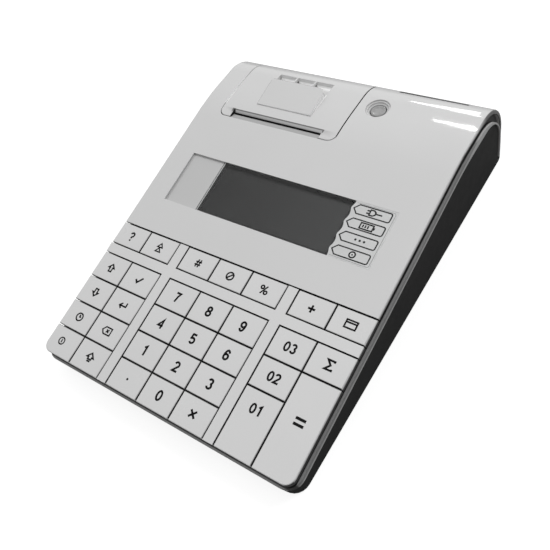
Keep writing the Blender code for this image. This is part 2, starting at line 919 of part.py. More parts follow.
def post_places():
    """Where the key frame's posts press the mat down, under the ribs and the seams."""
    edges = column_edges()
    across = (edges["left"][1], edges["left"][-1] + RIB_WIDTH / 2)
    return [
        (side * x, y)
        for side in (-1, 1)
        for x in across
        for y in (row_edges()[1][1], row_edges()[4][0] - CROSS_RIB / 2)
    ]


def screw_tip():
    return SCREW_SEAT + SCREW_LENGTH


def middle_span(low, high, width):
    """A span of the given width in the middle of another."""
    return (low + high - width) / 2, (low + high + width) / 2


def mat_sheet():
    """The edges of the mat and of the board under it, in face x and y."""
    half = HALF_WIDTH - MAT_MARGIN
    return (-half, half), (MAT_MARGIN, COVER_FRONT - MAT_MARGIN / 2)


def make_mat(body, face):
    """The rubber sheet under the plungers, with a pad under each key."""
    bm = block(*mat_sheet(), (mat_top() - MAT_THICK, mat_top()))
    mat = add_piece("key_mat", bm, grey_rubber(), face)
    pads = []
    for place in key_places().values():
        left, right, front, rear = key_bounds(*place)
        across = middle_span(left, right, PAD_WIDTH)
        along = middle_span(front, rear, PAD_DEPTH)
        pads.append(block(across, along, (mat_top() - JOIN, pad_top())))
    join(mat, merged(pads))
    for place in screw_places()[0]:
        cut(mat, rod(place, POST_RADIUS + GAP, 0, far(), "Z", FINE_STEPS), body)
    return mat


def make_key_board(body, face):
    """The printed board that the mat presses on."""
    bm = block(*mat_sheet(), (key_board_top() - KEY_BOARD_THICK, key_board_top()))
    board = add_piece("keypad_board", bm, board_laminate(), face)
    for place in screw_places()[0]:
        cut(board, rod(place, POST_RADIUS + GAP, 0, far(), "Z", FINE_STEPS), body)
    return board


def rim_outline():
    return full_outline(COVER_WALL + GAP, COVER_REAR_WALL + GAP, RIM_FRONT, RIM_RADIUS)


def sill_outline():
    """The side view of the sill under the cover's rear edge."""
    top = COVER_END - GAP
    front = rear_y(0) - SILL_DEPTH
    return rounded(
        [
            ((front, 0), 0, 0),
            ((rear_y(0, HOUSING_INSET), 0), REAR_TOE, 4),
            ((rear_y(top, HOUSING_INSET), top), 0, 0),
            ((front, top), 0, 0),
        ]
    )


def make_housing(body, face):
    """The dark tub: an outer wall up to the band, a rear sill, and a rim up to the cover."""
    half = HALF_WIDTH - HOUSING_INSET
    rim_half = HALF_WIDTH - RIM_INSET
    beyond = half + OVERRUN
    bm = prism(housing_outline(), -beyond, beyond)
    housing = add_piece("bottom_housing", bm, dark_plastic(), body)
    outer = plan_outline(half, -HOUSING_FRONT, far(), HOUSING_CORNER)
    combine(housing, "INTERSECT", prism(outer, -far(), far(), "Z"), face)
    join(housing, prism(sill_outline(), -half, half))
    rim = join(housing, prism(rim_outline(), -rim_half - OVERRUN, rim_half + OVERRUN))
    rim_plan = plan_outline(rim_half, RIM_FRONT, far(), RIM_CORNER)
    combine(rim, "INTERSECT", prism(rim_plan, -far(), far(), "Z"), face)
    back = COVER_REAR_WALL + GAP + RIM_WALL
    side = [
        (-OVERRUN, FLOOR),
        (rear_y(FLOOR, back), FLOOR),
        (rear_y(far(), back), far()),
        (-OVERRUN, far()),
    ]
    hollow = cut(housing, prism(side, -far(), far()))
    inner = plan_outline(rim_half - RIM_WALL, RIM_FRONT + RIM_WALL, far(), RIM_CORNER - RIM_WALL)
    combine(hollow, "INTERSECT", prism(inner, -far(), far(), "Z"), face)
    keypad = [(-far(), far()), (-far(), COVER_FRONT)]
    cut(housing, block(*keypad, (deck_bottom() - GAP, far())), face)
    finish_housing(housing, face)
    return housing


def finish_housing(housing, face):
    """The housing's bosses, posts, recesses and openings."""
    keypad, cover = screw_places()
    for place in keypad + cover:
        join(housing, rod(place, SCREW_BOSS_RADIUS, FLOOR - JOIN, SCREW_BOSS_TOP, "Z", FINE_STEPS))
        head = SCREW_HEAD_RADIUS + GAP
        cut(housing, rod(place, head, -OVERRUN, SCREW_SEAT, "Z", FINE_STEPS))
        cut(housing, rod(place, SCREW_RADIUS + GAP, -OVERRUN, far(), "Z"))
    for place in standoff_places():
        join(housing, rod(place, STANDOFF_RADIUS, FLOOR - JOIN, BOARD_Z - GAP, "Z"))
    for x, y in post_places():
        low = (FLOOR / 2 - body_point(y, 0).y) / cos(TILT)
        high = key_board_top() - KEY_BOARD_THICK - GAP
        span = [(edge - POST_SIZE / 2, edge + POST_SIZE / 2) for edge in (x, y)]
        join(housing, block(*span, (low, high)), face)
    for y in (FOOT_FRONT_Y, FOOT_REAR_Y):
        cut(housing, prism(foot_plan(y, GAP), -OVERRUN, FOOT_RECESS, "Z"))
    half = BATTERY_HALF_WIDTH + DOOR_MARGIN
    door = [(-half, half), (BATTERY_FRONT - DOOR_MARGIN, BATTERY_REAR + DOOR_MARGIN)]
    cut(housing, block(*door, (-OVERRUN, FLOOR + JOIN)))
    lid_side = LID_GAP + HINGE_BOSS + LID_GAP
    hinge = hinge_centre()
    notch = [(LID_LEFT - lid_side, LID_RIGHT + lid_side), (hinge.x - 2 * HINGE_RADIUS, far())]
    cut(housing, block(*notch, (hinge.y - HINGE_RADIUS - LID_GAP, far())))
    left, right = socket_sides()
    low = BOARD_Z + BOARD_THICK
    opening = [(left - GAP, right + GAP), (socket_rear() - SOCKET_LENGTH, far())]
    cut(housing, block(*opening, (low, low + GAP + SOCKET_HEIGHT + GAP)))
    under = min(point.y for point in customer_module_outline()) - GAP
    customer = [(CUSTOMER_LEFT - GAP, CUSTOMER_RIGHT + GAP), (rear_centre().x, far())]
    cut(housing, block(*customer, (under, far())))


def socket_rear():
    """Where the sockets' mouths stand, just inside the cover's rear wall."""
    return rear_y(BOARD_Z + BOARD_THICK, COVER_REAR_WALL + GAP)


def socket_sides():
    """The socket block's sides in x, round its two mouths."""
    return DATA_X - DATA_MOUTH_WIDTH / 2 - SOCKET_WALL, POWER_X + POWER_BORE + SOCKET_WALL


def make_band(body, face):
    """The light grey strip round both sides and the front."""
    half = HALF_WIDTH + BAND_PROUD
    start = -BAND_FRONT - OVERRUN
    outer = skin_path(BAND_TOP, BAND_REAR_TOP, BAND_RADIUS, start, COVER_END)
    inner = skin_path(BAND_BOTTOM, BAND_REAR_BOTTOM, HOUSING_RADIUS, start, COVER_END)
    bm = prism(outer + inner[::-1], -half - OVERRUN, half + OVERRUN)
    band = add_piece("side_band", bm, band_plastic(), body)
    plan = plan_outline(half, -BAND_FRONT, far(), BAND_CORNER, 8)
    combine(band, "INTERSECT", prism(plan, -far(), far(), "Z"), face)
    inside = HALF_WIDTH - RIM_INSET + GAP
    hole = plan_outline(inside, RIM_FRONT - GAP, far() + OVERRUN, RIM_CORNER + GAP, 8)
    cut(band, prism(hole, -far() - OVERRUN, far() + OVERRUN, "Z"), face)
    return band


def make_cover(body, face):
    """The white sheet from the keypad back over the rear, with its pockets, openings and posts."""
    outline = sheet_outline(COVER_FRONT, COVER_END)
    bm = prism(outline, -HALF_WIDTH, HALF_WIDTH)
    bevel_long_edges(bm, len(outline), COVER_EDGE, 2)
    cover = add_piece("top_cover", bm, white_plastic(), body)
    cut_display_openings(cover, face)
    cut_lid_opening(cover, face)
    add_seal_cup(cover)
    cut_customer_opening(cover)
    cut_socket_openings(cover)
    for x, y in screw_places()[1]:
        low = SCREW_BOSS_TOP + GAP
        high = face_level(y, COVER_WALL) + JOIN
        join(cover, rod((x, y), POST_RADIUS, low, high, "Z", FINE_STEPS))
        cut(cover, rod((x, y), SCREW_RADIUS + PIN_GAP, low - JOIN, screw_tip() + GAP, "Z"))
    hinge = hinge_centre()
    for low in (LID_LEFT - LID_GAP - HINGE_BOSS, LID_RIGHT + LID_GAP):
        join(cover, rod(hinge, HINGE_RADIUS - JOIN, low, low + HINGE_BOSS))
        hole = (low - JOIN, low + HINGE_BOSS + JOIN)
        cut(cover, rod(hinge, HINGE_PIN_RADIUS + PIN_GAP, *hole))
    return cover


def bevel_long_edges(bm, count, width, steps):
    """Rounds the side edges of a sheet swept along X, on the outer half of its outline."""
    bm.verts.ensure_lookup_table()
    outer = count // 2
    edges = []
    for ring in (0, count):
        for index in range(outer - 1):
            pair = (bm.verts[ring + index], bm.verts[ring + index + 1])
            edges.append(bm.edges.get(pair))
    bmesh.ops.bevel(bm, geom=edges, offset=width, segments=steps, profile=0.5, affect="EDGES")
    bmesh.ops.recalc_face_normals(bm, faces=bm.faces)


def cut_display_openings(cover, face):
    """The shallow pocket round the display, and the opening over the display itself."""
    pocket = [(-POCKET_HALF_WIDTH, POCKET_HALF_WIDTH), (POCKET_FRONT, POCKET_REAR)]
    cut(cover, block(*pocket, (-POCKET_DEPTH, OVERRUN)), face)
    opening = [
        (DISPLAY_LEFT, DISPLAY_RIGHT),
        (POCKET_FRONT + DISPLAY_MARGIN, POCKET_REAR - DISPLAY_MARGIN),
    ]
    cut(cover, block(*opening, (-COVER_WALL - OVERRUN, OVERRUN)), face)


def lid_plan(margin, front, reach):
    """The face plan of the lid, or of its opening with a margin."""
    left = LID_LEFT - margin
    right = LID_RIGHT + margin
    radius = LID_CORNER + margin
    return rounded(
        [
            ((left, front - margin), radius, LID_CORNER_STEPS),
            ((right, front - margin), radius, LID_CORNER_STEPS),
            ((right, reach), 0, 0),
            ((left, reach), 0, 0),
        ]
    )


def cut_lid_opening(cover, face):
    """The opening for the lid, over the top and down the rear to the hinge, and the slot's tongue."""
    depth = COVER_WALL + 2 * OVERRUN
    cut(cover, prism(lid_plan(LID_GAP, LID_FRONT, far()), -depth, OVERRUN, "Z"), face)
    hinge = hinge_centre()
    sides = (LID_LEFT - LID_GAP, LID_RIGHT + LID_GAP)
    low = hinge.y - HINGE_RADIUS - LID_GAP
    cut(cover, block(sides, (rear_centre().x, far()), (low, far())))
    edge = LID_FRONT - LID_GAP
    tongue = [
        (edge - 2 * COVER_WALL, -COVER_WALL / 2),
        (edge - JOIN, -COVER_WALL / 4),
        (edge, -JOIN / 2),
        (SLOT_TONGUE_EDGE, -TONGUE_DROP),
        (SLOT_TONGUE_EDGE, -TONGUE_DROP - TONGUE_THICK),
        (edge - 2 * COVER_WALL, -COVER_WALL - JOIN),
    ]
    join(cover, prism(tongue, SLOT_LEFT + LID_GAP, SLOT_RIGHT - LID_GAP), face)


def add_seal_cup(cover):
    """The round recess over a housing screw, with its cup under the sheet."""
    place = (SEAL_X, SEAL_Y)
    cup = [
        (SEAL_CUP_RADIUS, TOP_HEIGHT - COVER_WALL / 2),
        (SEAL_CUP_RADIUS, TOP_HEIGHT - SEAL_CUP_DEPTH),
    ]
    join(cover, turned(place, cup))
    recess = [
        (SEAL_RECESS_RADIUS + SEAL_SLOPE * OVERRUN / SEAL_DEPTH, TOP_HEIGHT + OVERRUN),
        (SEAL_RECESS_RADIUS - SEAL_SLOPE, TOP_HEIGHT - SEAL_DEPTH),
    ]
    cut(cover, turned(place, recess))


def cut_customer_opening(cover):
    """The curved pocket and opening for the customer window on the rear."""
    centre = rear_centre()
    sides = (CUSTOMER_LEFT, CUSTOMER_RIGHT)
    floor = REAR_RADIUS - CUSTOMER_THICK - GAP
    angles = (CUSTOMER_LOW_ANGLE - GAP / REAR_RADIUS, CUSTOMER_TOP_ANGLE + GAP / REAR_RADIUS)
    pocket = sector(centre, floor, REAR_RADIUS + OVERRUN, *angles, CUSTOMER_STEPS)
    cut(cover, prism(pocket, sides[0] - GAP, sides[1] + GAP))
    ledge = CUSTOMER_LEDGE / REAR_RADIUS
    angles = (CUSTOMER_LOW_ANGLE + ledge, CUSTOMER_TOP_ANGLE - ledge)
    opening = sector(centre, floor - OVERRUN, REAR_RADIUS + OVERRUN, *angles, CUSTOMER_STEPS)
    cut(cover, prism(opening, sides[0] + CUSTOMER_LEDGE, sides[1] - CUSTOMER_LEDGE))


def cut_socket_openings(cover):
    """The openings in the rear wall for the two sockets' mouths."""
    middle = BOARD_Z + BOARD_THICK + GAP + SOCKET_HEIGHT / 2
    depth = (socket_rear() - OVERRUN, far())
    cut(cover, rod((POWER_X, middle), POWER_BORE + GAP, *depth, "Y", FINE_STEPS))
    across = middle_span(DATA_X, DATA_X, DATA_MOUTH_WIDTH + 2 * GAP)
    cut(cover, block(across, depth, middle_span(middle, middle, DATA_MOUTH_HEIGHT + 2 * GAP)))


def make_lid(body, face):
    """The lid over the paper: a sheet with a hinge barrel, a thumb grip and two platen arms."""
    hinge = hinge_centre()
    touch = HINGE_HEIGHT - HINGE_RADIUS * sin(REAR_LEAN)
    outline = sheet_outline(LID_FRONT - OVERRUN, touch)
    bm = prism(outline, LID_LEFT - OVERRUN, LID_RIGHT + OVERRUN)
    lid = add_piece("paper_lid", bm, white_plastic(), body, (0, hinge.x, hinge.y))
    combine(lid, "INTERSECT", prism(lid_plan(0, LID_FRONT, far()), -far(), far(), "Z"), face)
    barrel = rod(hinge, HINGE_RADIUS - BARREL_INSET, LID_LEFT, LID_RIGHT, steps=FINE_STEPS)
    join(lid, barrel)
    for low, high in arm_spans():
        join(lid, prism(arm_outline(), low, high))
    add_grip(lid)
    notch = [(SLOT_LEFT, SLOT_RIGHT), (LID_FRONT - 2 * OVERRUN, SLOT_LID_EDGE)]
    cut(lid, block(*notch, (-2 * COVER_WALL, OVERRUN)), face)
    slope = [
        (SLOT_LID_EDGE - OVERRUN, -COVER_WALL * SLOT_BEVEL_SHARE),
        (SLOT_LID_EDGE, -COVER_WALL * SLOT_BEVEL_SHARE),
        (SLOT_REAR, 0),
        (SLOT_REAR, OVERRUN),
        (SLOT_LID_EDGE - OVERRUN, OVERRUN),
    ]
    cut(lid, prism(slope, SLOT_LEFT, SLOT_RIGHT), face)
    bore = (LID_LEFT - OVERRUN, LID_RIGHT + OVERRUN)
    cut(lid, rod(hinge, HINGE_PIN_RADIUS + PIN_GAP, *bore))
    ends = (arm_spans()[0][0] - JOIN, arm_spans()[1][1] + JOIN)
    cut(lid, rod(platen_centre(), SHAFT_RADIUS + PIN_GAP, *ends))
    return lid


def arm_outline():
    """A platen arm's side view: a round end at the shaft, and a stem up into the lid's sheet."""
    centre = platen_centre()
    angles = [pi + pi * step / 8 for step in range(9)]
    end = [centre + ARM_HALF_DEPTH * Vector((cos(a), sin(a))) for a in angles]
    front, rear = end[0].x, end[-1].x
    inside = COVER_WALL / 2
    return [*end, (rear, face_level(rear, inside)), (front, face_level(front, inside))]


def grip_wedge(inset, low, drop):
    """The grip's wedge from a level up to the carried-on slope, with its sides moved in by inset."""
    left_corner = max(GRIP_LEFT_CORNER - inset, 0)
    right_corner = max(GRIP_RIGHT_CORNER - inset, 0)
    plan = rounded(
        [
            ((GRIP_LEFT + inset, GRIP_FRONT + inset), 0, 0),
            ((GRIP_RIGHT - inset, GRIP_FRONT + inset), 0, 0),
            ((GRIP_RIGHT - inset, GRIP_REAR - inset), right_corner, 6),
            ((GRIP_LEFT + inset, GRIP_REAR - inset), left_corner, 3),
        ]
    )
    wedge = prism(plan, low, far(), "Z")
    for vert in wedge.verts:
        if vert.co.z > TOP_HEIGHT:
            vert.co.z = face_level(vert.co.y, drop)
    return wedge


def add_grip(lid):
    """The thumb grip: a wedge that carries the slope on, and three finger hollows behind it."""
    inside = TOP_HEIGHT - COVER_WALL / 2
    wedge = grip_wedge(0, inside, 0)
    bevel_edges(wedge, lambda start, end: min(start.z, end.z) > inside + JOIN, GRIP_EDGE, 2)
    join(lid, wedge)
    floor = TOP_HEIGHT - GRIP_DEPTH
    foot = GRIP_HOLLOW_REAR - GRIP_HOLLOW_SLOPE
    cup = [
        (GRIP_REAR - GRIP_WALL, inside),
        (GRIP_REAR - GRIP_WALL, floor - GRIP_WALL),
        (foot, floor - GRIP_WALL),
        (GRIP_HOLLOW_REAR + GRIP_WALL, inside),
    ]
    join(lid, prism(cup, GRIP_LEFT - GRIP_WALL, GRIP_RIGHT + GRIP_WALL))
    cut(lid, grip_wedge(COVER_WALL, TOP_HEIGHT - COVER_WALL - OVERRUN, COVER_WALL))
    hollow = [
        (GRIP_REAR, floor),
        (foot, floor),
        (GRIP_HOLLOW_REAR, TOP_HEIGHT),
        (GRIP_HOLLOW_REAR, far()),
        (GRIP_REAR, far()),
    ]
    width = (GRIP_RIGHT - GRIP_LEFT - 2 * GRIP_RIB) / 3
    for place in range(3):
        low = GRIP_LEFT + place * (width + GRIP_RIB)
        cut(lid, prism(hollow, low, low + width))


def make_hinge_pin(body):
    hinge = hinge_centre()
    reach = LID_GAP + HINGE_BOSS
    bm = rod(hinge, HINGE_PIN_RADIUS, LID_LEFT - reach, LID_RIGHT + reach)
    return add_piece("lid_hinge_pin", bm, steel(), body)


def make_platen(body):
    """The platen: a steel shaft, the rubber on it and the gear at its left end."""
    centre = platen_centre()
    place = (0, centre.x, centre.y)
    left, right = paper_sides()
    shaft = (gear_span()[0] - SHAFT_END / 2, arm_spans()[1][1] + SHAFT_END)
    add_piece("platen_shaft", rod(centre, SHAFT_RADIUS, *shaft), steel(), body, place)
    roller = tube(centre, PLATEN_RADIUS, SHAFT_RADIUS + PIN_GAP, left, right, steps=FINE_STEPS)
    add_piece("platen_roller", roller, rubber(), body, place)
    phase = bearing(centre, idler_centre())
    wheel = gear(centre, PLATEN_TEETH, phase, SHAFT_RADIUS + PIN_GAP, gear_span())
    add_piece("platen_gear", wheel, gear_plastic(), body, place)


def make_gear_train(body):
    """The idler on its stud, the motor and the pinion on the motor's shaft."""
    idler = idler_centre()
    bm = gear(idler, IDLER_TEETH, idler_phase(), STUD_RADIUS + PIN_GAP, gear_span())
    add_piece("idler_gear", bm, gear_plastic(), body, (0, idler.x, idler.y))
    pinion = pinion_centre()
    bore = MOTOR_SHAFT_RADIUS + PIN_GAP
    bm = gear(pinion, PINION_TEETH, pinion_phase(), bore, gear_span())
    add_piece("motor_pinion", bm, steel(), body, (0, pinion.x, pinion.y))
    low = motor_front()
    bm = rod(pinion, MOTOR_RADIUS, low, low + MOTOR_LENGTH, steps=FINE_STEPS)
    motor = add_piece("stepper_motor", bm, aluminium(), body)
    join(motor, rod(pinion, MOTOR_SHAFT_RADIUS, gear_span()[0], low + MOTOR_LENGTH / 2))


def motor_front():
    """Where the motor's mounting face stands in x, behind the frame's bracket."""
    return bracket_span()[1] + GAP


def bracket_span():
    low = arm_spans()[0][0]
    return low, low + BRACKET_THICK


def tray_outline(radius, top):
    """The paper tray's side view: straight walls and a round bottom."""
    centre = (TRAY_Y, TRAY_FLOOR + TRAY_RADIUS)
    angles = [pi + pi * step / 14 for step in range(15)]
    bottom = [(centre[0] + radius * cos(a), centre[1] + radius * sin(a)) for a in angles]
    return [*bottom, (centre[0] + radius, top), (centre[0] - radius, top)]


def make_printer_frame(body):
    """The printer's frame: tray, base, two cheeks, the wall behind the head and the motor bracket."""
    left, right = paper_sides()
    inner = (left - TRAY_PLAY, right + TRAY_PLAY)
    outer = (inner[0] - TRAY_WALL, inner[1] + TRAY_WALL)
    low = FLOOR + FRAME_LIFT
    bm = prism(tray_outline(TRAY_RADIUS + TRAY_WALL, TRAY_FRONT_HEIGHT), *outer)
    frame = add_piece("printer_frame", bm, frame_plastic(), body)
    cheeks = cheek_spans()
    base = [(cheeks[0][0], cheeks[1][1]), (CHEEK_FRONT, TRAY_Y)]
    join(frame, block(*base, (low, low + BASE_THICK)))
    cut(frame, prism(tray_outline(TRAY_RADIUS, far()), *inner))
    for low_x, high_x in cheeks:
        cheek = rounded(
            [
                ((CHEEK_FRONT, low + JOIN), 0, 0),
                ((CHEEK_REAR, low + JOIN), 0, 0),
                ((CHEEK_REAR, PLATEN_Z + CHEEK_RISE), ARM_HALF_DEPTH, 3),
                ((CHEEK_FRONT, PLATEN_Z + CHEEK_RISE), 2 * ARM_HALF_DEPTH, 3),
            ]
        )
        join(frame, prism(cheek, low_x, high_x))
    head_front = PLATEN_Y - PLATEN_RADIUS - GAP - HEAD_THICK
    wall = (head_front - GAP - HEAD_WALL_THICK, head_front - GAP)
    wall_left = motor_front() + MOTOR_LENGTH + SHAFT_END
    top = PLATEN_Z + HEAD_RISE
    join(frame, block((wall_left, cheeks[1][0] + JOIN), wall, (low + JOIN, top)))
    pinion = pinion_centre()
    reach = MOTOR_RADIUS + JOIN
    bracket = [bracket_span(), (pinion.x - reach, pinion.x + reach)]
    join(frame, block(*bracket, (low + JOIN, pinion.y + reach)))
    hole = (bracket_span()[0] - JOIN, bracket_span()[1] + JOIN)
    cut(frame, rod(pinion, 2 * MOTOR_SHAFT_RADIUS, *hole))
    stud = (cheeks[0][1] - JOIN, gear_span()[1] + JOIN)
    join(frame, rod(idler_centre(), STUD_RADIUS, *stud))
    return frame


def make_thermal_head(body):
    """The print head's plate, which faces the platen across the paper."""
    rear = PLATEN_Y - PLATEN_RADIUS - GAP
    height = (PLATEN_Z - HEAD_FALL, PLATEN_Z + HEAD_RISE)
    bm = block(paper_sides(), (rear - HEAD_THICK, rear), height)
    return add_piece("thermal_head", bm, aluminium(), body)


def make_paper_roll(body):
    centre = Vector((TRAY_Y, TRAY_FLOOR + GAP + ROLL_RADIUS))
    bm = tube(centre, ROLL_RADIUS, ROLL_BORE, *paper_sides(), steps=ROLL_STEPS)
    return add_piece("paper_roll", bm, paper(), body, (0, centre.x, centre.y))


def make_window(face):
    """The clear lens in the pocket, from the display to the pocket's right end."""
    sides = (WINDOW_LEFT, POCKET_HALF_WIDTH - GAP)
    depth = (POCKET_FRONT + GAP, POCKET_REAR - GAP)
    top = GAP - POCKET_DEPTH + WINDOW_THICK
    bm = block(sides, depth, (GAP - POCKET_DEPTH, top))
    return add_piece("display_window", bm, clear_plastic(), face)


def display_top():
    """The level of the display board's upper face, in face z."""
    return -COVER_WALL - GAP


def make_display(face):
    """The display on its board, under the opening in the pocket's floor."""
    margin = DISPLAY_BOARD_MARGIN
    sides = (DISPLAY_LEFT - margin, DISPLAY_RIGHT + margin)
    depth = (POCKET_FRONT - margin / 2, POCKET_REAR + margin / 2)
    top = display_top()
    bm = block(sides, depth, (top - DISPLAY_THICK, top))
    display = add_piece("display_module", bm, display_glass(), face)
    glass = [
        (DISPLAY_LEFT + GAP, DISPLAY_RIGHT - GAP),
        (POCKET_FRONT + DISPLAY_MARGIN + GAP, POCKET_REAR - DISPLAY_MARGIN - GAP),
    ]
    join(display, block(*glass, (top - JOIN, -POCKET_DEPTH - JOIN)))
    return display


def make_customer_window(body):
    centre = rear_centre()
    radii = (REAR_RADIUS - CUSTOMER_THICK, REAR_RADIUS)
    outline = sector(centre, *radii, CUSTOMER_LOW_ANGLE, CUSTOMER_TOP_ANGLE, CUSTOMER_STEPS)
    bm = prism(outline, CUSTOMER_LEFT, CUSTOMER_RIGHT)
    return add_piece("customer_window", bm, dark_glass(), body)


def customer_module_outline():
    """The customer display module's side view, square to the window's middle."""
    centre = rear_centre()
    middle = (CUSTOMER_LOW_ANGLE + CUSTOMER_TOP_ANGLE) / 2
    out = Vector((cos(middle), sin(middle)))
    up = Vector((-sin(middle), cos(middle)))
    half = CUSTOMER_MODULE_HEIGHT / 2
    clear = REAR_RADIUS - COVER_REAR_WALL - GAP
    front = (clear**2 - half**2) ** 0.5
    rear = front - CUSTOMER_DEEP
    places = [(front, half), (front, -half), (rear, -half), (rear, half)]
    return [centre + out * away + up * rise for away, rise in places]


def make_customer_display(body):
    """The customer's display module, facing out through its window."""
    sides = (CUSTOMER_LEFT + CUSTOMER_LEDGE, CUSTOMER_RIGHT - CUSTOMER_LEDGE)
    bm = prism(customer_module_outline(), *sides)
    return add_piece("customer_display", bm, display_glass(), body)


def make_seal_plug(body):
    """The round plug in the screw recess, with a raised rim and a dished middle."""
    low = TOP_HEIGHT - SEAL_DEPTH + GAP
    top = low + SEAL_HEIGHT
    profile = [
        (SEAL_RADIUS - 2 * SEAL_RIM, top - SEAL_DISH),
        (SEAL_RADIUS - SEAL_RIM, top),
        (SEAL_RADIUS - SEAL_RIM / 2, top),
        (SEAL_RADIUS, top - SEAL_RIM / 2),
        (SEAL_RADIUS, low),
    ]
    return add_piece("seal_plug", turned((SEAL_X, SEAL_Y), profile), seal_plastic(), body)


def make_main_board(body):
    bm = block((BOARD_LEFT, BOARD_RIGHT), (BOARD_FRONT, BOARD_REAR), (BOARD_Z, BOARD_Z + BOARD_THICK))
    return add_piece("main_board", bm, board_laminate(), body)


def make_sockets(body):
    """The power inlet and the data socket, which stand on the main board."""
    low = BOARD_Z + BOARD_THICK + GAP
    depth = (socket_rear() - SOCKET_LENGTH, socket_rear())
    bm = block(socket_sides(), depth, (low, low + SOCKET_HEIGHT))
    sockets = add_piece("rear_sockets", bm, socket_plastic(), body)
    floor = socket_rear() - SOCKET_BORE_DEPTH
    beyond = socket_rear() + OVERRUN
    middle = low + SOCKET_HEIGHT / 2
    cut(sockets, rod((POWER_X, middle), POWER_BORE, floor, beyond, "Y", FINE_STEPS))
    join(sockets, rod((POWER_X, middle), POWER_PIN, floor - JOIN, socket_rear() - GAP, "Y"))
    across = middle_span(DATA_X, DATA_X, DATA_MOUTH_WIDTH)
    cut(sockets, block(across, (floor, beyond), middle_span(middle, middle, DATA_MOUTH_HEIGHT)))
    return sockets


def make_battery(body):
    """The battery pack and the door under it, which hooks in at its front edge."""
    low = FLOOR + GAP
    above = body_point(POCKET_FRONT - DISPLAY_BOARD_MARGIN / 2, display_top() - DISPLAY_THICK)
    high = above.y - BATTERY_HEADROOM
    corners = [(BATTERY_FRONT, low), (BATTERY_REAR, low), (BATTERY_REAR, high), (BATTERY_FRONT, high)]
    outline = rounded([(corner, BATTERY_ROUND, 4) for corner in corners])
    bm = prism(outline, -BATTERY_HALF_WIDTH, BATTERY_HALF_WIDTH)
    add_piece("battery_pack", bm, battery_wrap(), body)
    half = BATTERY_HALF_WIDTH + DOOR_MARGIN - GAP
    front = BATTERY_FRONT - DOOR_MARGIN + GAP
    rear = BATTERY_REAR + DOOR_MARGIN - GAP
    bm = block((-half, half), (front, rear), (0, FLOOR))
    add_piece("battery_door", bm, dark_plastic(), body, (0, front, 0))


def make_feet(body):
    """Two rubber strips in their grooves, across the front and the rear."""
    for name, y in (("front_foot", FOOT_FRONT_Y), ("rear_foot", FOOT_REAR_Y)):
        plan = foot_plan(y, 0)
        bm = prism(plan, -FOOT_DROP, FOOT_RECESS - GAP, "Z")
        low = min(vert.co.z for vert in bm.verts)
        bevel_edges(bm, lambda start, end: start.z == end.z == low, FOOT_DROP / 2, 1)
        add_piece(name, bm, rubber(), body)


def main():
    clear_scene()
    middle = (body_point(-BAND_FRONT, -BAND_TOP).x + rear_y(TOP_HEIGHT / 2)) / 2
    body = add_empty("Body", None, (0, -middle, FOOT_DROP))
    face = add_empty("Face", body, (0, 0, FRONT_HEIGHT), TILT)
    bpy.context.view_layer.update()
    make_housing(body, face)
    make_band(body, face)
    make_cover(body, face)
    make_key_frame(body, face)
    make_keys(face)
    make_mat(body, face)
    make_key_board(body, face)
    make_window(face)
    make_display(face)
    make_customer_window(body)
    make_customer_display(body)
    make_lid(body, face)
    make_hinge_pin(body)
    make_platen(body)
    make_gear_train(body)
    make_printer_frame(body)
    make_thermal_head(body)
    make_paper_roll(body)
    make_seal_plug(body)
    make_main_board(body)
    make_sockets(body)
    make_battery(body)
    make_feet(body)


main()
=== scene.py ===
"""The looks of a portable ticket register: a small printing till with keys and a display.

Everything is in metres, with +Z up and the keys towards -Y.
"""

from math import atan2, cos, radians, sin

import bmesh
import bpy
from mathutils import Matrix, Quaternion, Vector


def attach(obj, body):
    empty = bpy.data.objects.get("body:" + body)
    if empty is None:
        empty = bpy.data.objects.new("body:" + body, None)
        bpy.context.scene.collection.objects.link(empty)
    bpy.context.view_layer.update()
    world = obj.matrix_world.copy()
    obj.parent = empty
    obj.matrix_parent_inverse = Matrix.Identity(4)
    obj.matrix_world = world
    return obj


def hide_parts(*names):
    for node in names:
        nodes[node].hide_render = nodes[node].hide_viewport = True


MM = 0.001

# The sloping face: x across, y up the slope, z out of it
FACE_ANGLE = atan2(0.0272, 0.1679)
FACE_ORIGIN = Vector((0, -0.10596, 0.0174))
FACE = Matrix.Translation(FACE_ORIGIN) @ Matrix.Rotation(FACE_ANGLE, 4, "X")
FACE_UP = Vector((0, cos(FACE_ANGLE), sin(FACE_ANGLE)))
FACE_NORMAL = Vector((0, -sin(FACE_ANGLE), cos(FACE_ANGLE)))
ACROSS = Vector((1, 0, 0))
REARWARD = Vector((0, 1, 0))
UPWARD = Vector((0, 0, 1))
HALF_WIDTH = 78.6 * MM

# The rear bend of the top cover
BEND_CENTRE = Vector((0, 81.3 * MM, 24.1 * MM))
BEND_RADIUS = 20.5 * MM
TOP_LEVEL = 44.6 * MM

# Zones of the cover and the lid where shade and light are painted: X across the width, UP up the
# slope, Y in the world's depth
POCKET_X = (-63.8 * MM, -40.9 * MM)
POCKET_UP = (100.3 * MM, 132.1 * MM)
SCREEN_X = (-41.2 * MM, 40.3 * MM)
LABEL_X = (40.3 * MM, 64 * MM)
LENS_WALL_UP = (131.9 * MM, 132.3 * MM)
COVER_FRONT_UP = 80.7 * MM
SLOT_X = (-57 * MM, 4 * MM)
RAMP_UP = (155 * MM, 163.4 * MM)
LIP_UP = (164 * MM, 166 * MM)
GAP_UP = (155 * MM, 167 * MM)
SLOT_END_X = (-57.5 * MM, -55.3 * MM)
SLOT_END_UP = (160.4 * MM, 166.2 * MM)
RIGHT_SEAM_X = (12.0 * MM, 12.7 * MM)
LEFT_SEAM_X = (-64.8 * MM, -63.9 * MM)
LEFT_SEAM_UP = 168.5 * MM
HOLLOWS_X = (-44.3 * MM, -8.6 * MM)
HOLLOWS_UP = (188.6 * MM, 198.4 * MM)
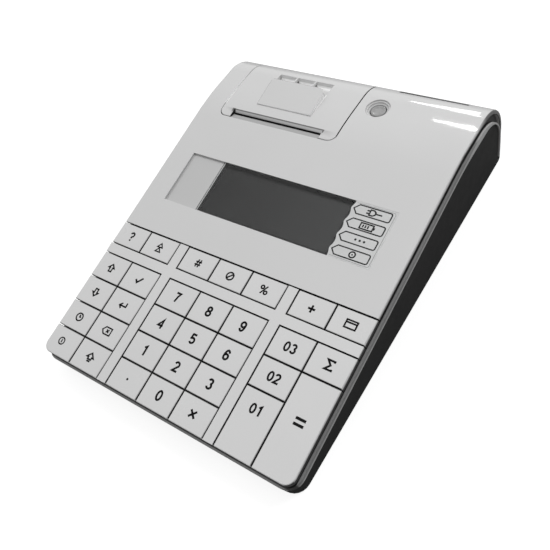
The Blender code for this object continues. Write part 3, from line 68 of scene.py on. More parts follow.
HOLLOW_RIBS_X = ((-44.6 * MM, -43.9 * MM), (-32.3 * MM, -31.6 * MM), (-20.0 * MM, -19.5 * MM))
GRIP_Y = (64.3 * MM, 81 * MM)
GRIP_LEFT_X = (-44.5 * MM, -44.1 * MM)
GRIP_SIDES_X = ((-44.95 * MM, -44.6 * MM), (-8.65 * MM, -8.1 * MM))
GRIP_FRONT_X = (-44.3 * MM, -8.5 * MM)
GRIP_FRONT_Y = (63.9 * MM, 64.3 * MM)
GRIP_REAR_X = (-44.0 * MM, -14.0 * MM)
GRIP_REAR_Y = (82.1 * MM, 82.8 * MM)
SHOULDER_Y = 84 * MM

# Camera
CAMERA_PLACE = (0.18419, -0.148663, 0.280649)
CAMERA_TURN = (0.913473, 0.262759, 0.208882, 0.229986)
CAMERA_LENS = 44.39
SENSOR_WIDTH = 36

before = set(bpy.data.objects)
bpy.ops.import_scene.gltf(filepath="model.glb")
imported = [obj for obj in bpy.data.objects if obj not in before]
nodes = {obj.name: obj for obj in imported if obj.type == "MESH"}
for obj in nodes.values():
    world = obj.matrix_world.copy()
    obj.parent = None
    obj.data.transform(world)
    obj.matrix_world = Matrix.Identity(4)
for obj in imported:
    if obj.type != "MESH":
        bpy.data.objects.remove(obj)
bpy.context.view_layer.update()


# Materials


def grey(level):
    """The colour of a grey written as a screen level from 0 to 255."""
    value = ((level / 255 + 0.055) / 1.055) ** 2.4
    return (value, value, value, 1)


class Finish:
    """A material's node tree, with short names for the nodes that the finishes share."""

    def __init__(self, name, gloss=0.5, metal=0.0, specular=0.5):
        self.material = bpy.data.materials.new(name)
        self.material.use_nodes = True
        self.tree = self.material.node_tree
        self.shader = self.tree.nodes["Principled BSDF"]
        self.shader.inputs["Roughness"].default_value = gloss
        self.shader.inputs["Metallic"].default_value = metal
        self.shader.inputs["Specular IOR Level"].default_value = specular
        self.place = self.tree.nodes.new("ShaderNodeTexCoord").outputs["Object"]

    def node(self, kind, **settings):
        made = self.tree.nodes.new(kind)
        for key, value in settings.items():
            setattr(made, key, value)
        return made

    def link(self, source, target):
        self.tree.links.new(source, target)

    def noise(self, pitch, detail=2.0, stretch=None):
        """Noise with grains about one pitch across."""
        made = self.node("ShaderNodeTexNoise")
        made.inputs["Scale"].default_value = 1 / pitch
        made.inputs["Detail"].default_value = detail
        place = self.place
        if stretch:
            mapping = self.node("ShaderNodeMapping")
            mapping.inputs["Scale"].default_value = stretch
            self.link(place, mapping.inputs["Vector"])
            place = mapping.outputs["Vector"]
        self.link(place, made.inputs["Vector"])
        return made.outputs["Fac"]

    def spread(self, factor, low, high, start=0.3, end=0.7):
        """A factor's middle range, spread from low to high."""
        made = self.node("ShaderNodeMapRange")
        made.inputs["From Min"].default_value = start
        made.inputs["From Max"].default_value = end
        made.inputs["To Min"].default_value = low
        made.inputs["To Max"].default_value = high
        self.link(factor, made.inputs["Value"])
        return made.outputs["Result"]

    def mix(self, factor, first, second):
        """A mix of two colours. Each is a colour or a socket."""
        made = self.node("ShaderNodeMix", data_type="RGBA")
        self.link(factor, made.inputs["Factor"])
        for socket, value in ((made.inputs[6], first), (made.inputs[7], second)):
            if isinstance(value, tuple):
                socket.default_value = value
            else:
                self.link(value, socket)
        return made.outputs[2]

    def past(self, direction, start, soft=0.1 * MM, origin=Vector()):
        """Zero before a place along a direction and one after it."""
        reach = self.node("ShaderNodeVectorMath", operation="DOT_PRODUCT")
        reach.inputs[1].default_value = direction
        self.link(self.place, reach.inputs[0])
        middle = Vector(direction).dot(origin) + start
        return self.spread(reach.outputs["Value"], 0, 1, middle - soft, middle + soft)

    def above(self, level, soft=0.1 * MM):
        """One above a level of the sloping face and zero below it."""
        return self.past(FACE_NORMAL, level, soft, FACE_ORIGIN)

    def below(self, level, soft=0.1 * MM):
        return self.past(-FACE_NORMAL, -level, soft, FACE_ORIGIN)

    def behind(self, depth, soft=0.1 * MM):
        """One past a place up the slope of the face."""
        return self.past(FACE_UP, depth, soft, FACE_ORIGIN)

    def before(self, depth, soft=0.1 * MM):
        return self.past(-FACE_UP, -depth, soft, FACE_ORIGIN)

    def up_slope(self, front, rear):
        """One between two places up the slope of the face."""
        return self.all_of(self.behind(front), self.before(rear))

    def in_depth(self, front, rear):
        """One between two of the world's depths."""
        return self.all_of(self.past(REARWARD, front), self.past(-REARWARD, -rear))

    def between(self, low, high, soft=0.05 * MM):
        """One between two places across the width."""
        return self.all_of(self.past(ACROSS, low, soft), self.past(-ACROSS, -high, soft))

    def join(self, operation, factors):
        total = factors[0]
        for factor in factors[1:]:
            made = self.node("ShaderNodeMath", operation=operation)
            self.link(total, made.inputs[0])
            self.link(factor, made.inputs[1])
            total = made.outputs[0]
        return total

    def outside(self, reach, soft=0.1 * MM):
        """One past a place on either side of the width."""
        return self.any_of(self.past(ACROSS, reach, soft), self.past(-ACROSS, reach, soft))

    def deeper(self, depth, soft=0.1 * MM):
        """One below a depth under the cover's skin: on the slope, the top and the rear bend."""
        flat = self.all_of(self.below(-depth, soft), self.past(-UPWARD, depth - TOP_LEVEL, soft))
        shifted = self.node("ShaderNodeVectorMath", operation="MULTIPLY_ADD")
        shifted.inputs[1].default_value = (0, 1, 1)
        shifted.inputs[2].default_value = -BEND_CENTRE
        self.link(self.place, shifted.inputs[0])
        radius = self.node("ShaderNodeVectorMath", operation="LENGTH")
        self.link(shifted.outputs["Vector"], radius.inputs[0])
        skin = BEND_RADIUS - depth
        round_rear = self.spread(radius.outputs["Value"], 1, 0, skin - soft, skin + soft)
        made = self.node("ShaderNodeMix")
        self.link(self.past(REARWARD, BEND_CENTRE.y, 0.05 * MM), made.inputs[0])
        self.link(flat, made.inputs[2])
        self.link(round_rear, made.inputs[3])
        return made.outputs[0]

    def all_of(self, *factors):
        return self.join("MINIMUM", factors)

    def any_of(self, *factors):
        return self.join("MAXIMUM", factors)

    def colour(self, source):
        self.link(source, self.shader.inputs["Base Color"])
        return self

    def roughness(self, source):
        self.link(source, self.shader.inputs["Roughness"])
        return self

    def relief(self, *layers, edge=0.0):
        """Bumps, each a factor with its height, laid on softly rounded edges."""
        normal = None
        if edge:
            bevel = self.node("ShaderNodeBevel", samples=4)
            bevel.inputs["Radius"].default_value = edge
            normal = bevel.outputs["Normal"]
        for factor, height in layers:
            bump = self.node("ShaderNodeBump")
            bump.inputs["Strength"].default_value = 1
            bump.inputs["Distance"].default_value = height
            self.link(factor, bump.inputs["Height"])
            if normal:
                self.link(normal, bump.inputs["Normal"])
            normal = bump.outputs["Normal"]
        self.link(normal, self.shader.inputs["Normal"])
        return self


def moulded(name, low, high, gloss, grain, height, edge=0.25 * MM, patch=30 * MM):
    """A moulded plastic: fine grain, slow changes of shade and small changes of gloss."""
    finish = Finish(name)
    slow = finish.noise(patch, 3)
    finish.colour(finish.mix(finish.spread(slow, 0, 1), grey(low), grey(high)))
    smear = finish.noise(6 * MM, 4)
    finish.roughness(finish.spread(smear, gloss - 0.05, gloss + 0.05))
    finish.relief((finish.noise(grain, 3), height), edge=edge)
    return finish.material


def cover_plastic(name):
    """The glossy white shell, with painted shade in its slot, seams, pocket and side walls, and
    painted light and highlights round the lid's grip.
    """
    finish = Finish(name)
    slow = finish.noise(50 * MM, 2)
    colour = finish.mix(finish.spread(slow, 0, 1), grey(206), grey(208))

    # Painted shade: the pocket floor left of the screen is greyer (190).
    pocket = finish.all_of(
        finish.below(-0.6 * MM, 0.2 * MM),
        finish.between(*POCKET_X),
        finish.up_slope(*POCKET_UP),
    )
    # Painted shadow (grey 40) on the pocket's rear wall under the lens behind the screen, and
    # painted light (grey 254) on the same wall behind the label print.
    lens_wall = finish.all_of(
        finish.below(-0.04 * MM, 0.03 * MM),
        finish.behind(LENS_WALL_UP[0], 0.03 * MM),
        finish.before(LENS_WALL_UP[1]),
    )
    screen_wall = finish.all_of(lens_wall, finish.between(*SCREEN_X))
    label_wall = finish.all_of(lens_wall, finish.between(*LABEL_X))

    # Painted shade in the paper slot: on its ramp (160), its lip (120), its far end (60), and near
    # black (28) in the gap below.
    slot = finish.between(*SLOT_X)
    ramp = finish.all_of(finish.below(-0.12 * MM, 0.05 * MM), finish.up_slope(*RAMP_UP), slot)
    lip = finish.all_of(
        finish.below(-0.03 * MM, 0.02 * MM),
        finish.above(-0.5 * MM),
        finish.behind(LIP_UP[0]),
        finish.before(LIP_UP[1], 0.02 * MM),
        slot,
    )
    slot_end = finish.all_of(
        finish.below(-0.2 * MM),
        finish.between(*SLOT_END_X),
        finish.up_slope(*SLOT_END_UP),
    )
    gap = finish.all_of(finish.below(-1.55 * MM), finish.up_slope(*GAP_UP), slot)

    # Painted shade near black (28) in the lid's right seam, and painted light (254) that hides its
    # left seam.
    seam = finish.all_of(
        finish.below(-0.12 * MM, 0.05 * MM), finish.between(*RIGHT_SEAM_X, 0.03 * MM)
    )
    left_seam = finish.all_of(
        finish.deeper(0.05 * MM, 0.05 * MM),
        finish.between(*LEFT_SEAM_X, 0.03 * MM),
        finish.behind(LEFT_SEAM_UP),
    )

    # Painted light (250) in the finger hollows behind the grip, less (200) at their bottoms, with
    # painted shade (120) on their ribs.
    hollows = finish.all_of(
        finish.up_slope(*HOLLOWS_UP),
        finish.between(*HOLLOWS_X),
        finish.deeper(0.3 * MM, 0.2 * MM),
    )
    bottoms = finish.all_of(hollows, finish.deeper(1.6 * MM, 0.4 * MM))
    ribs = finish.all_of(hollows, finish.any_of(*(finish.between(*rib) for rib in HOLLOW_RIBS_X)))

    # Painted shadow (110) along the grip's left edge, painted highlights (254) along both its
    # sides, painted light (254) on its front edge and painted shade (160) along its rear edge.
    along_grip = finish.all_of(
        finish.in_depth(*GRIP_Y), finish.past(UPWARD, TOP_LEVEL - 0.05 * MM)
    )
    grip_left = finish.all_of(along_grip, finish.between(*GRIP_LEFT_X, 0.08 * MM))
    grip_sides = finish.all_of(
        along_grip, finish.any_of(*(finish.between(*side) for side in GRIP_SIDES_X))
    )
    grip_front = finish.all_of(
        finish.in_depth(*GRIP_FRONT_Y),
        finish.past(UPWARD, TOP_LEVEL + 0.02 * MM, 0.02 * MM),
        finish.between(*GRIP_FRONT_X),
    )
    grip_rear = finish.all_of(
        finish.in_depth(*GRIP_REAR_Y),
        finish.past(UPWARD, TOP_LEVEL + 1.5 * MM),
        finish.between(*GRIP_REAR_X, 1 * MM),
    )

    # Painted shade near black (28) under the shell's front edge, and painted shade on its side
    # walls (70) and on its edge at the rear shoulder (112).
    front = finish.all_of(finish.below(-0.3 * MM), finish.before(COVER_FRONT_UP, 0.03 * MM))
    side = finish.all_of(
        finish.outside(HALF_WIDTH - 0.4 * MM), finish.deeper(1.15 * MM, 0.5 * MM)
    )
    shoulder = finish.all_of(
        finish.outside(HALF_WIDTH - 0.5 * MM, 0.15 * MM),
        finish.past(REARWARD, SHOULDER_Y, 5 * MM),
    )
    # Each mask's grey replaces the shell's colour there. Every one of them is painted shade or
    # painted light.
    for factor, level in (
        (pocket, 190),
        (screen_wall, 40),
        (label_wall, 254),
        (hollows, 250),
        (bottoms, 200),
        (ribs, 120),
        (grip_left, 110),
        (grip_sides, 254),
        (grip_front, 254),
        (grip_rear, 160),
        (left_seam, 254),
        (ramp, 160),
        (lip, 120),
        (slot_end, 60),
        (side, 70),
        (shoulder, 112),
    ):
        colour = finish.mix(factor, colour, grey(level))
    colour = finish.mix(finish.any_of(gap, seam, front), colour, grey(28))
    finish.colour(colour)
    smear = finish.noise(18 * MM, 3)
    satin = finish.spread(finish.any_of(grip_sides, grip_front), 0, 0.3, 0, 1)
    finish.roughness(finish.join("ADD", [finish.spread(smear, 0.025, 0.045), satin]))
    finish.relief((finish.noise(2.4 * MM, 2), 0.0004 * MM), edge=0.22 * MM)
    return finish.material


def key_plastic(name):
    """The satin white keys and ribs, with painted shade down in the gaps between them and on their
    faces lower down.
    """
    finish = Finish(name)
    slow = finish.noise(50 * MM, 2)
    shade = finish.mix(finish.spread(slow, 0, 1), grey(211), grey(214))
    # Painted shade (grey 40): down in the gaps between the keys and ribs, and on every face more
    # than about 0.9 mm below the key tops.
    inner = finish.all_of(
        finish.below(-0.22 * MM, 0.2 * MM),
        finish.behind(0.45 * MM),
        finish.between(0.3 * MM - HALF_WIDTH, HALF_WIDTH - 0.3 * MM),
    )
    outer = finish.below(-0.9 * MM, 0.4 * MM)
    finish.colour(finish.mix(finish.any_of(inner, outer), shade, grey(40)))
    smear = finish.noise(14 * MM, 3)
    finish.roughness(finish.spread(smear, 0.27, 0.31))
    finish.relief((finish.noise(0.3 * MM, 3), 0.0015 * MM), edge=0.22 * MM)
    return finish.material


def band_plastic(name):
    """The grey strip round the sides, with a painted shadow in the groove over it and a painted
    highlight along its lower edge.
    """
    finish = Finish(name)
    slow = finish.noise(40 * MM, 3)
    shade = finish.mix(finish.spread(slow, 0, 1), grey(141), grey(147))
    # Painted highlight: paler grey along the strip's lower edge.
    shade = finish.mix(finish.below(-7.2 * MM, 0.3 * MM), shade, grey(196))
    # Painted shadow near black on the strip's inner ledge, in the groove under the cover.
    groove = finish.all_of(
        finish.between(-78.3 * MM, 78.3 * MM, 0.2 * MM), finish.behind(-0.6 * MM, 0.2 * MM)
    )
    finish.colour(finish.mix(groove, shade, grey(24)))
    finish.roughness(finish.spread(finish.noise(5 * MM, 4), 0.34, 0.42))
    finish.relief((finish.noise(0.35 * MM, 3), 0.004 * MM), edge=0.2 * MM)
    return finish.material


def housing_plastic(name):
    """The dark lower shell, with painted shade near black in the groove under the cover and the
    greyer rim that shows at the rear shoulder.
    """
    finish = Finish(name, specular=0.15)
    slow = finish.noise(40 * MM, 3)
    wall = finish.mix(finish.spread(slow, 0, 1), grey(45), grey(49))
    # Painted shade near black on the rim high up in the groove under the cover.
    groove = finish.mix(finish.above(-5.0 * MM, 0.2 * MM), wall, grey(20))
    shoulder = finish.all_of(
        finish.past(REARWARD, SHOULDER_Y, 6 * MM),
        finish.past(UPWARD, 20 * MM, 4 * MM),
        finish.between(-77.6 * MM, 77.6 * MM),
    )
    finish.colour(finish.mix(shoulder, groove, grey(100)))
    finish.roughness(finish.spread(finish.noise(5 * MM, 4), 0.5, 0.58))
    finish.relief((finish.noise(0.45 * MM, 3), 0.006 * MM), edge=0.3 * MM)
    return finish.material


def rubber(name, level):
    finish = Finish(name, specular=0.35)
    dust = finish.noise(4 * MM, 5)
    finish.colour(finish.mix(finish.spread(dust, 0, 1, 0.45, 0.75), grey(level), grey(level + 22)))
    finish.roughness(finish.spread(dust, 0.72, 0.88))
    finish.relief((finish.noise(0.35 * MM, 3), 0.03 * MM), edge=0.3 * MM)
    return finish.material


def brushed(name, level, gloss, stretch):
    finish = Finish(name, metal=1.0)
    lines = finish.noise(0.12 * MM, 2, stretch)
    finish.colour(finish.mix(finish.spread(lines, 0, 1), grey(level - 14), grey(level + 10)))
    finish.roughness(finish.spread(finish.noise(3 * MM, 3), gloss - 0.06, gloss + 0.08))
    finish.relief((lines, 0.004 * MM), edge=0.15 * MM)
    return finish.material


def gilt(name):
    """Thin gold plating on the sockets' contacts."""
    finish = Finish(name, metal=1.0)
    wear = finish.noise(0.8 * MM, 4)
    worn = finish.spread(wear, 0, 1)
    finish.colour(finish.mix(worn, (0.75, 0.5, 0.16, 1), (0.85, 0.62, 0.25, 1)))
    finish.roughness(finish.spread(wear, 0.22, 0.34))
    finish.relief((wear, 0.004 * MM), edge=0.05 * MM)
    return finish.material


def laminate(name):
    """A printed circuit board: green lacquer over a faint weave, with pale copper paths."""
    finish = Finish(name, gloss=0.35)
    paths = finish.node("ShaderNodeTexBrick")
    paths.inputs["Scale"].default_value = 220
    paths.inputs["Mortar Size"].default_value = 0.09
    paths.inputs["Color1"].default_value = (0, 0, 0, 1)
    paths.inputs["Color2"].default_value = (0, 0, 0, 1)
    paths.inputs["Mortar"].default_value = (1, 1, 1, 1)
    finish.link(finish.place, paths.inputs["Vector"])
    weave = finish.noise(0.5 * MM, 2)
    uneven = finish.spread(weave, 0, 1)
    lacquer = finish.mix(uneven, (0.012, 0.075, 0.035, 1), (0.02, 0.1, 0.05, 1))
    finish.colour(finish.mix(paths.outputs["Color"], lacquer, (0.035, 0.17, 0.08, 1)))
    finish.relief((weave, 0.01 * MM), (paths.outputs["Fac"], 0.02 * MM))
    return finish.material


def paper_side(name):
    """The wound roll: white paper whose ends show the turns as fine rings."""
    finish = Finish(name, gloss=0.8, specular=0.3)
    rings = finish.node("ShaderNodeTexWave", wave_type="RINGS", rings_direction="X")
    rings.inputs["Scale"].default_value = 1500
    rings.inputs["Distortion"].default_value = 0.6
    mapping = finish.node("ShaderNodeMapping")
    mapping.inputs["Location"].default_value = (0, -0.08124, -0.0201)
    finish.link(finish.place, mapping.inputs["Vector"])
    finish.link(mapping.outputs["Vector"], rings.inputs["Vector"])
    turns = finish.mix(rings.outputs["Fac"], grey(205), grey(238))
    fibre = finish.noise(0.6 * MM, 4)
    finish.colour(finish.mix(finish.spread(fibre, 0, 0.25), turns, grey(245)))
    finish.relief((rings.outputs["Fac"], 0.02 * MM), (fibre, 0.01 * MM))
    return finish.material


def clear(name, tint, gloss, ior=1.49):
    """A clear plastic that lets light through to what lies under it."""
    finish = Finish(name, gloss=gloss)
    finish.shader.inputs["Transmission Weight"].default_value = 1
    finish.shader.inputs["IOR"].default_value = ior
    finish.shader.inputs["Base Color"].default_value = tint
    smear = finish.noise(9 * MM, 5)
    finish.roughness(finish.spread(smear, gloss, gloss + 0.03))
    passing = finish.node("ShaderNodeBsdfTransparent")
    passing.inputs["Color"].default_value = tint
    path = finish.node("ShaderNodeLightPath")
    lit = finish.any_of(path.outputs["Is Shadow Ray"], path.outputs["Is Diffuse Ray"])
    both = finish.node("ShaderNodeMixShader")
    finish.link(lit, both.inputs["Fac"])
    finish.link(finish.shader.outputs["BSDF"], both.inputs[1])
    finish.link(passing.outputs["BSDF"], both.inputs[2])
    finish.link(both.outputs["Shader"], finish.tree.nodes["Material Output"].inputs["Surface"])
    return finish.material


def screen(name, low, high, gloss, rear_shadow_level):
    """The grey glass of a display that is switched off, lighter towards the right, with a painted
    shadow along its rear edge.
    """
    finish = Finish(name, gloss=gloss, specular=0.0)
    cloud = finish.noise(25 * MM, 2)
    shade = finish.mix(finish.spread(cloud, 0, 1), grey(low), grey(low + 4))
    shade = finish.mix(finish.past(ACROSS, 5 * MM, 45 * MM), shade, grey(high))
    # Painted shadow: the rear edge's grey replaces the glass's grey.
    finish.colour(finish.mix(finish.behind(129.4 * MM, 0.9 * MM), shade, grey(rear_shadow_level)))
    finish.roughness(finish.spread(finish.noise(2 * MM, 3), gloss - 0.04, gloss + 0.06))
    finish.relief((finish.noise(0.2 * MM, 2), 0.0008 * MM))
    return finish.material


def ink(name, level):
    finish = Finish(name, gloss=0.6, specular=0.15)
    uneven = finish.noise(0.3 * MM, 4)
    finish.colour(finish.mix(finish.spread(uneven, 0, 1), grey(level), grey(level + 8)))
    finish.roughness(finish.spread(uneven, 0.5, 0.7))
    finish.relief((uneven, 0.005 * MM))
    return finish.material


WHITE = cover_plastic("white_plastic_finish")
KEY_WHITE = key_plastic("key_finish")
BAND = band_plastic("band_finish")
DARK = housing_plastic("dark_plastic_finish")
INNER = moulded("inner_plastic_finish", 40, 48, 0.5, 0.5 * MM, 0.015 * MM)
SOCKET = moulded("socket_finish", 26, 34, 0.35, 0.3 * MM, 0.004 * MM, edge=0.1 * MM)
SEAL = moulded("seal_finish", 148, 160, 0.25, 0.2 * MM, 0.004 * MM, edge=0.15 * MM, patch=2 * MM)
RING = moulded("ring_finish", 196, 204, 0.14, 0.3 * MM, 0.002 * MM, edge=0.2 * MM)
GEAR = moulded("gear_finish", 214, 222, 0.4, 0.3 * MM, 0.004 * MM, edge=0.08 * MM)
WRAP = moulded("wrap_finish", 66, 74, 0.28, 3 * MM, 0.03 * MM, edge=0.3 * MM)
ROLLER = rubber("roller_finish", 32)
FOOT = rubber("foot_finish", 44)
MAT = rubber("mat_finish", 120)
STEEL = brushed("steel_finish", 190, 0.3, (60, 4, 4))
SCREW = brushed("screw_finish", 150, 0.34, (30, 30, 30))
ALUMINIUM = brushed("aluminium_finish", 205, 0.34, (4, 40, 40))
GOLD = gilt("contact_finish")
BOARD = laminate("board_finish")
PAPER = paper_side("paper_finish")
# The last number of each screen finish is the grey of its painted shadow along the rear edge.
SCREEN = screen("screen_finish", 42, 70, 0.4, 23)
REAR_SCREEN = screen("rear_screen_finish", 26, 34, 0.2, 30)
LENS = clear("lens_finish", (0.98, 0.985, 0.985, 1), 0.02, 1.25)
SMOKE = clear("smoke_finish", (0.25, 0.25, 0.27, 1), 0.04)
INK = ink("legend_finish", 6)
TAG_INK = ink("tag_line_finish", 10)
RULE_INK = ink("rule_finish", 138)
# The border's painted shadow along the rear edge is grey 22.
BORDER = screen("border_finish", 40, 50, 0.5, 22)
PRINT = moulded("print_finish", 202, 206, 0.5, 0.3 * MM, 0.002 * MM, edge=0.0)

FINISHES = {
    "top_cover": WHITE,
    "paper_lid": WHITE,
    "side_band": BAND,
    "bottom_housing": DARK,
    "battery_door": DARK,
    "key_mat": MAT,
    "keypad_board": BOARD,
    "main_board": BOARD,
    "display_module": SCREEN,
    "customer_display": REAR_SCREEN,
    "customer_window": SMOKE,
    "lid_hinge_pin": STEEL,
    "platen_shaft": STEEL,
    "platen_roller": ROLLER,
    "platen_gear": GEAR,
    "idler_gear": GEAR,
    "motor_pinion": STEEL,
    "stepper_motor": STEEL,
    "printer_frame": INNER,
    "thermal_head": ALUMINIUM,
    "paper_roll": PAPER,
    "seal_plug": SEAL,
    "rear_sockets": SOCKET,
    "battery_pack": WRAP,
    "front_foot": FOOT,
    "rear_foot": FOOT,
}


def dress(node, material):
    for slot in node.material_slots:
        slot.material = material


def smoothing_tree():
    """Joins a mesh's split corners and smooths its faces across shallow edges."""
    tree = bpy.data.node_groups.new("soft_faces", "GeometryNodeTree")
    tree.interface.new_socket("Geometry", in_out="INPUT", socket_type="NodeSocketGeometry")
    tree.interface.new_socket("Geometry", in_out="OUTPUT", socket_type="NodeSocketGeometry")
    merge = tree.nodes.new("GeometryNodeMergeByDistance")
    merge.inputs["Distance"].default_value = 0.001 * MM
    drop = tree.nodes.new("GeometryNodeRemoveAttribute")
    drop.inputs["Name"].default_value = "custom_normal"
    faces = tree.nodes.new("GeometryNodeSetShadeSmooth")
    faces.domain = "FACE"
    edges = tree.nodes.new("GeometryNodeSetShadeSmooth")
    edges.domain = "EDGE"
    angle = tree.nodes.new("GeometryNodeInputMeshEdgeAngle")
    compare = tree.nodes.new("FunctionNodeCompare")
    compare.operation = "LESS_EQUAL"
    compare.inputs["B"].default_value = radians(50)
    tree.links.new(angle.outputs["Unsigned Angle"], compare.inputs["A"])
    tree.links.new(compare.outputs["Result"], edges.inputs["Shade Smooth"])
    last = tree.nodes.new("NodeGroupInput").outputs[0]
    for step in (merge, drop, faces, edges):
        tree.links.new(last, step.inputs["Geometry"])
        last = step.outputs["Geometry"]
    tree.links.new(last, tree.nodes.new("NodeGroupOutput").inputs[0])
    return tree


SOFT_FACES = smoothing_tree()


def soften(obj):
    """Smooth shading on curved faces, with flat faces kept flat."""
    joined = obj.modifiers.new("soft_faces", "NODES")
    joined.node_group = SOFT_FACES
    weighted = obj.modifiers.new("flat_faces", "WEIGHTED_NORMAL")
    weighted.keep_sharp = True
    weighted.mode = "FACE_AREA"
    weighted.weight = 80


for name, node in nodes.items():
    dress(node, FINISHES.get(name, KEY_WHITE))
    soften(node)


# Meshes


def piece(name, bm, material, body, matrix=None):
    """A new piece from a bmesh, riding on a body."""
    if matrix:
        bm.transform(matrix)
    bmesh.ops.recalc_face_normals(bm, faces=bm.faces)
    mesh = bpy.data.meshes.new(name)
    bm.to_mesh(mesh)
    bm.free()
    mesh.materials.append(material)
    obj = bpy.data.objects.new(name, mesh)
    bpy.context.scene.collection.objects.link(obj)
    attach(obj, body)
    return obj


def thicken(bm, low, high):
    """Gives flat faces at z = 0 a bottom at low and a top at high."""
    made = bmesh.ops.extrude_face_region(bm, geom=list(bm.faces))
    top = [v for v in made["geom"] if isinstance(v, bmesh.types.BMVert)]
    for vert in bm.verts:
        vert.co.z = low
    for vert in top:
        vert.co.z = high


def add_strip(bm, points, width, closed=False):
    """A flat line of one width along a path, with its corners mitred."""
    count = len(points)
    rails = []
    for n, point in enumerate(points):
        point = Vector(point)
        before = Vector(points[n - 1]) if closed or n else None
        after = Vector(points[(n + 1) % count]) if closed or n < count - 1 else None
        first = (point - before).normalized() if before else (after - point).normalized()
        second = (after - point).normalized() if after else first
        normal = Vector((-first.y - second.y, first.x + second.x)).normalized()
        reach = width / 2 / max(0.35, normal.dot(Vector((-second.y, second.x))))
        rails.append([bm.verts.new((*(point + normal * side * reach), 0)) for side in (1, -1)])
    for n in range(count if closed else count - 1):
        here = rails[n]
        there = rails[(n + 1) % count]
        bm.faces.new((here[0], here[1], there[1], there[0]))


def add_fill(bm, points):
    bm.faces.new([bm.verts.new((x, y, 0)) for x, y in points])


def arc(centre, radii, start=0, turn=360, steps=24):
    """Points on an arc of an ellipse, the last one left out where it closes."""
    count = steps if turn == 360 else steps + 1
    angles = [radians(start + turn * n / steps) for n in range(count)]
    return [(centre[0] + radii[0] * cos(a), centre[1] + radii[1] * sin(a)) for a in angles]


def ring(centre, radius, steps=24):
    return arc(centre, (radius, radius), steps=steps)


def turned(profile, steps, closed=False):
    """A mesh turned about Z from (radius, z) pairs, capped at its ends or joined into a loop."""
    bm = bmesh.new()
    rings = [
        [bm.verts.new((x, y, z)) for x, y in ring((0, 0), radius, steps)] for radius, z in profile
    ]
    next_rings = rings[1:] + rings[:1] if closed else rings[1:]
    for upper, lower in zip(rings, next_rings):
        for n in range(steps):
            after = (n + 1) % steps
            bm.faces.new((upper[n], upper[after], lower[after], lower[n]))
    if not closed:
        bm.faces.new(rings[0])
        bm.faces.new(rings[-1])
    bmesh.ops.recalc_face_normals(bm, faces=bm.faces)
    return bm


def box(low, high):
    bm = bmesh.new()
    bmesh.ops.create_cube(bm, size=1)
    low = Vector(low)
    high = Vector(high)
    bm.transform(Matrix.Translation((low + high) / 2) @ Matrix.Diagonal((*(high - low), 1)))
    return bm


def round_edges(bm, width):
    bmesh.ops.bevel(bm, geom=list(bm.edges), offset=width, segments=2, affect="EDGES", profile=0.6)
    return bm


def blend_in(bm, other):
    """Adds another mesh to a bmesh, as it stands."""
    mesh = bpy.data.meshes.new("part")
    other.to_mesh(mesh)
    other.free()
    bm.from_mesh(mesh)
    bpy.data.meshes.remove(mesh)
    return bm


def carved(solid, cutter):
    """One bmesh cut out of another."""
    objects = []
    for bm in (solid, cutter):
        mesh = bpy.data.meshes.new("carving")
        bm.to_mesh(mesh)
        bm.free()
        obj = bpy.data.objects.new("carving", mesh)
        bpy.context.scene.collection.objects.link(obj)
        objects.append(obj)
    modifier = objects[0].modifiers.new("cut", "BOOLEAN")
    modifier.operation = "DIFFERENCE"
    modifier.solver = "EXACT"
    modifier.object = objects[1]
    graph = bpy.context.evaluated_depsgraph_get()
    result = bmesh.new()
    result.from_object(objects[0], graph)
    for obj in objects:
        mesh = obj.data
        bpy.data.objects.remove(obj)
        bpy.data.meshes.remove(mesh)
    return result


# Legends, drawn in millimetres as lines and dots

FIGURE_LINE = 0.98
FIGURE_PITCH = 3.9
PAIR_SIZE = 0.9
ICON_LINE = 0.8
LEGEND_WEIGHT = 1.1
INK_LIFT = 0.02 * MM
INK_SUNK = 0.03 * MM


def upside_down(lines):
    return [([(-x, -y) for x, y in points], closed) for points, closed in lines]


SIX = [
    (arc((0, -0.95), (1.2, 1.29)), True),
    (arc((0.1, -0.4), (1.3, 2.64), 180, -145, 16), False),
]
FIGURES = {
    "0": [(arc((0, 0), (1.25, 2.24)), True)],
    "1": [([(-0.95, 1.35), (0.3, 2.3), (0.3, -2.6)], False)],
    "2": [(arc((0, 1.05), (1.19, 1.19), 170, -200, 16) + [(-1.2, -2.24), (1.5, -2.24)], False)],
    "3": [
        (arc((-0.05, 1.15), (1.09, 1.09), 165, -245, 16), False),
        (arc((0, -1.05), (1.2, 1.19), 80, -245, 16), False),
    ],
    "4": [([(0.7, -2.6), (0.7, 2.2), (-1.4, -1.0), (1.55, -1.0)], False)],
    "5": [
        (
            [(1.3, 2.24), (-0.8, 2.24), (-1.05, 0.15)]
            + arc((0, -0.9), (1.25, 1.34), 130, -280, 18),
            False,
        )
    ],
    "6": SIX,
    "7": [([(-1.4, 2.24), (1.2, 2.24), (0.25, 0.3), (-0.35, -2.6)], False)],
    "8": [(arc((0, 1.2), (1.05, 1.04)), True), (arc((0, -1.05), (1.25, 1.19)), True)],
    "9": upside_down(SIX),
}
HELP_MARK = [(arc((0, 1.1), (1.15, 1.15), 170, -220, 16) + [(0.05, -0.3), (0.05, -1.1)], False)]
NUMBER_SIGN = [
    ([(-1.0, -2.2), (-0.3, 2.2)], False),
    ([(0.5, -2.2), (1.2, 2.2)], False),
    ([(-1.7, 0.8), (2.0, 0.8)], False),
    ([(-1.9, -0.8), (1.8, -0.8)], False),
]
PERCENT_SIGN = [
    (ring((-1.3, 1.15), 0.85, 16), True),
    (ring((1.3, -1.15), 0.85, 16), True),
    ([(-1.3, -2.2), (1.3, 2.2)], False),
]
ARROW = [(0, 2.2), (1.9, 0.2), (0.9, 0.2), (0.9, -2.0), (-0.9, -2.0), (-0.9, 0.2), (-1.9, 0.2)]
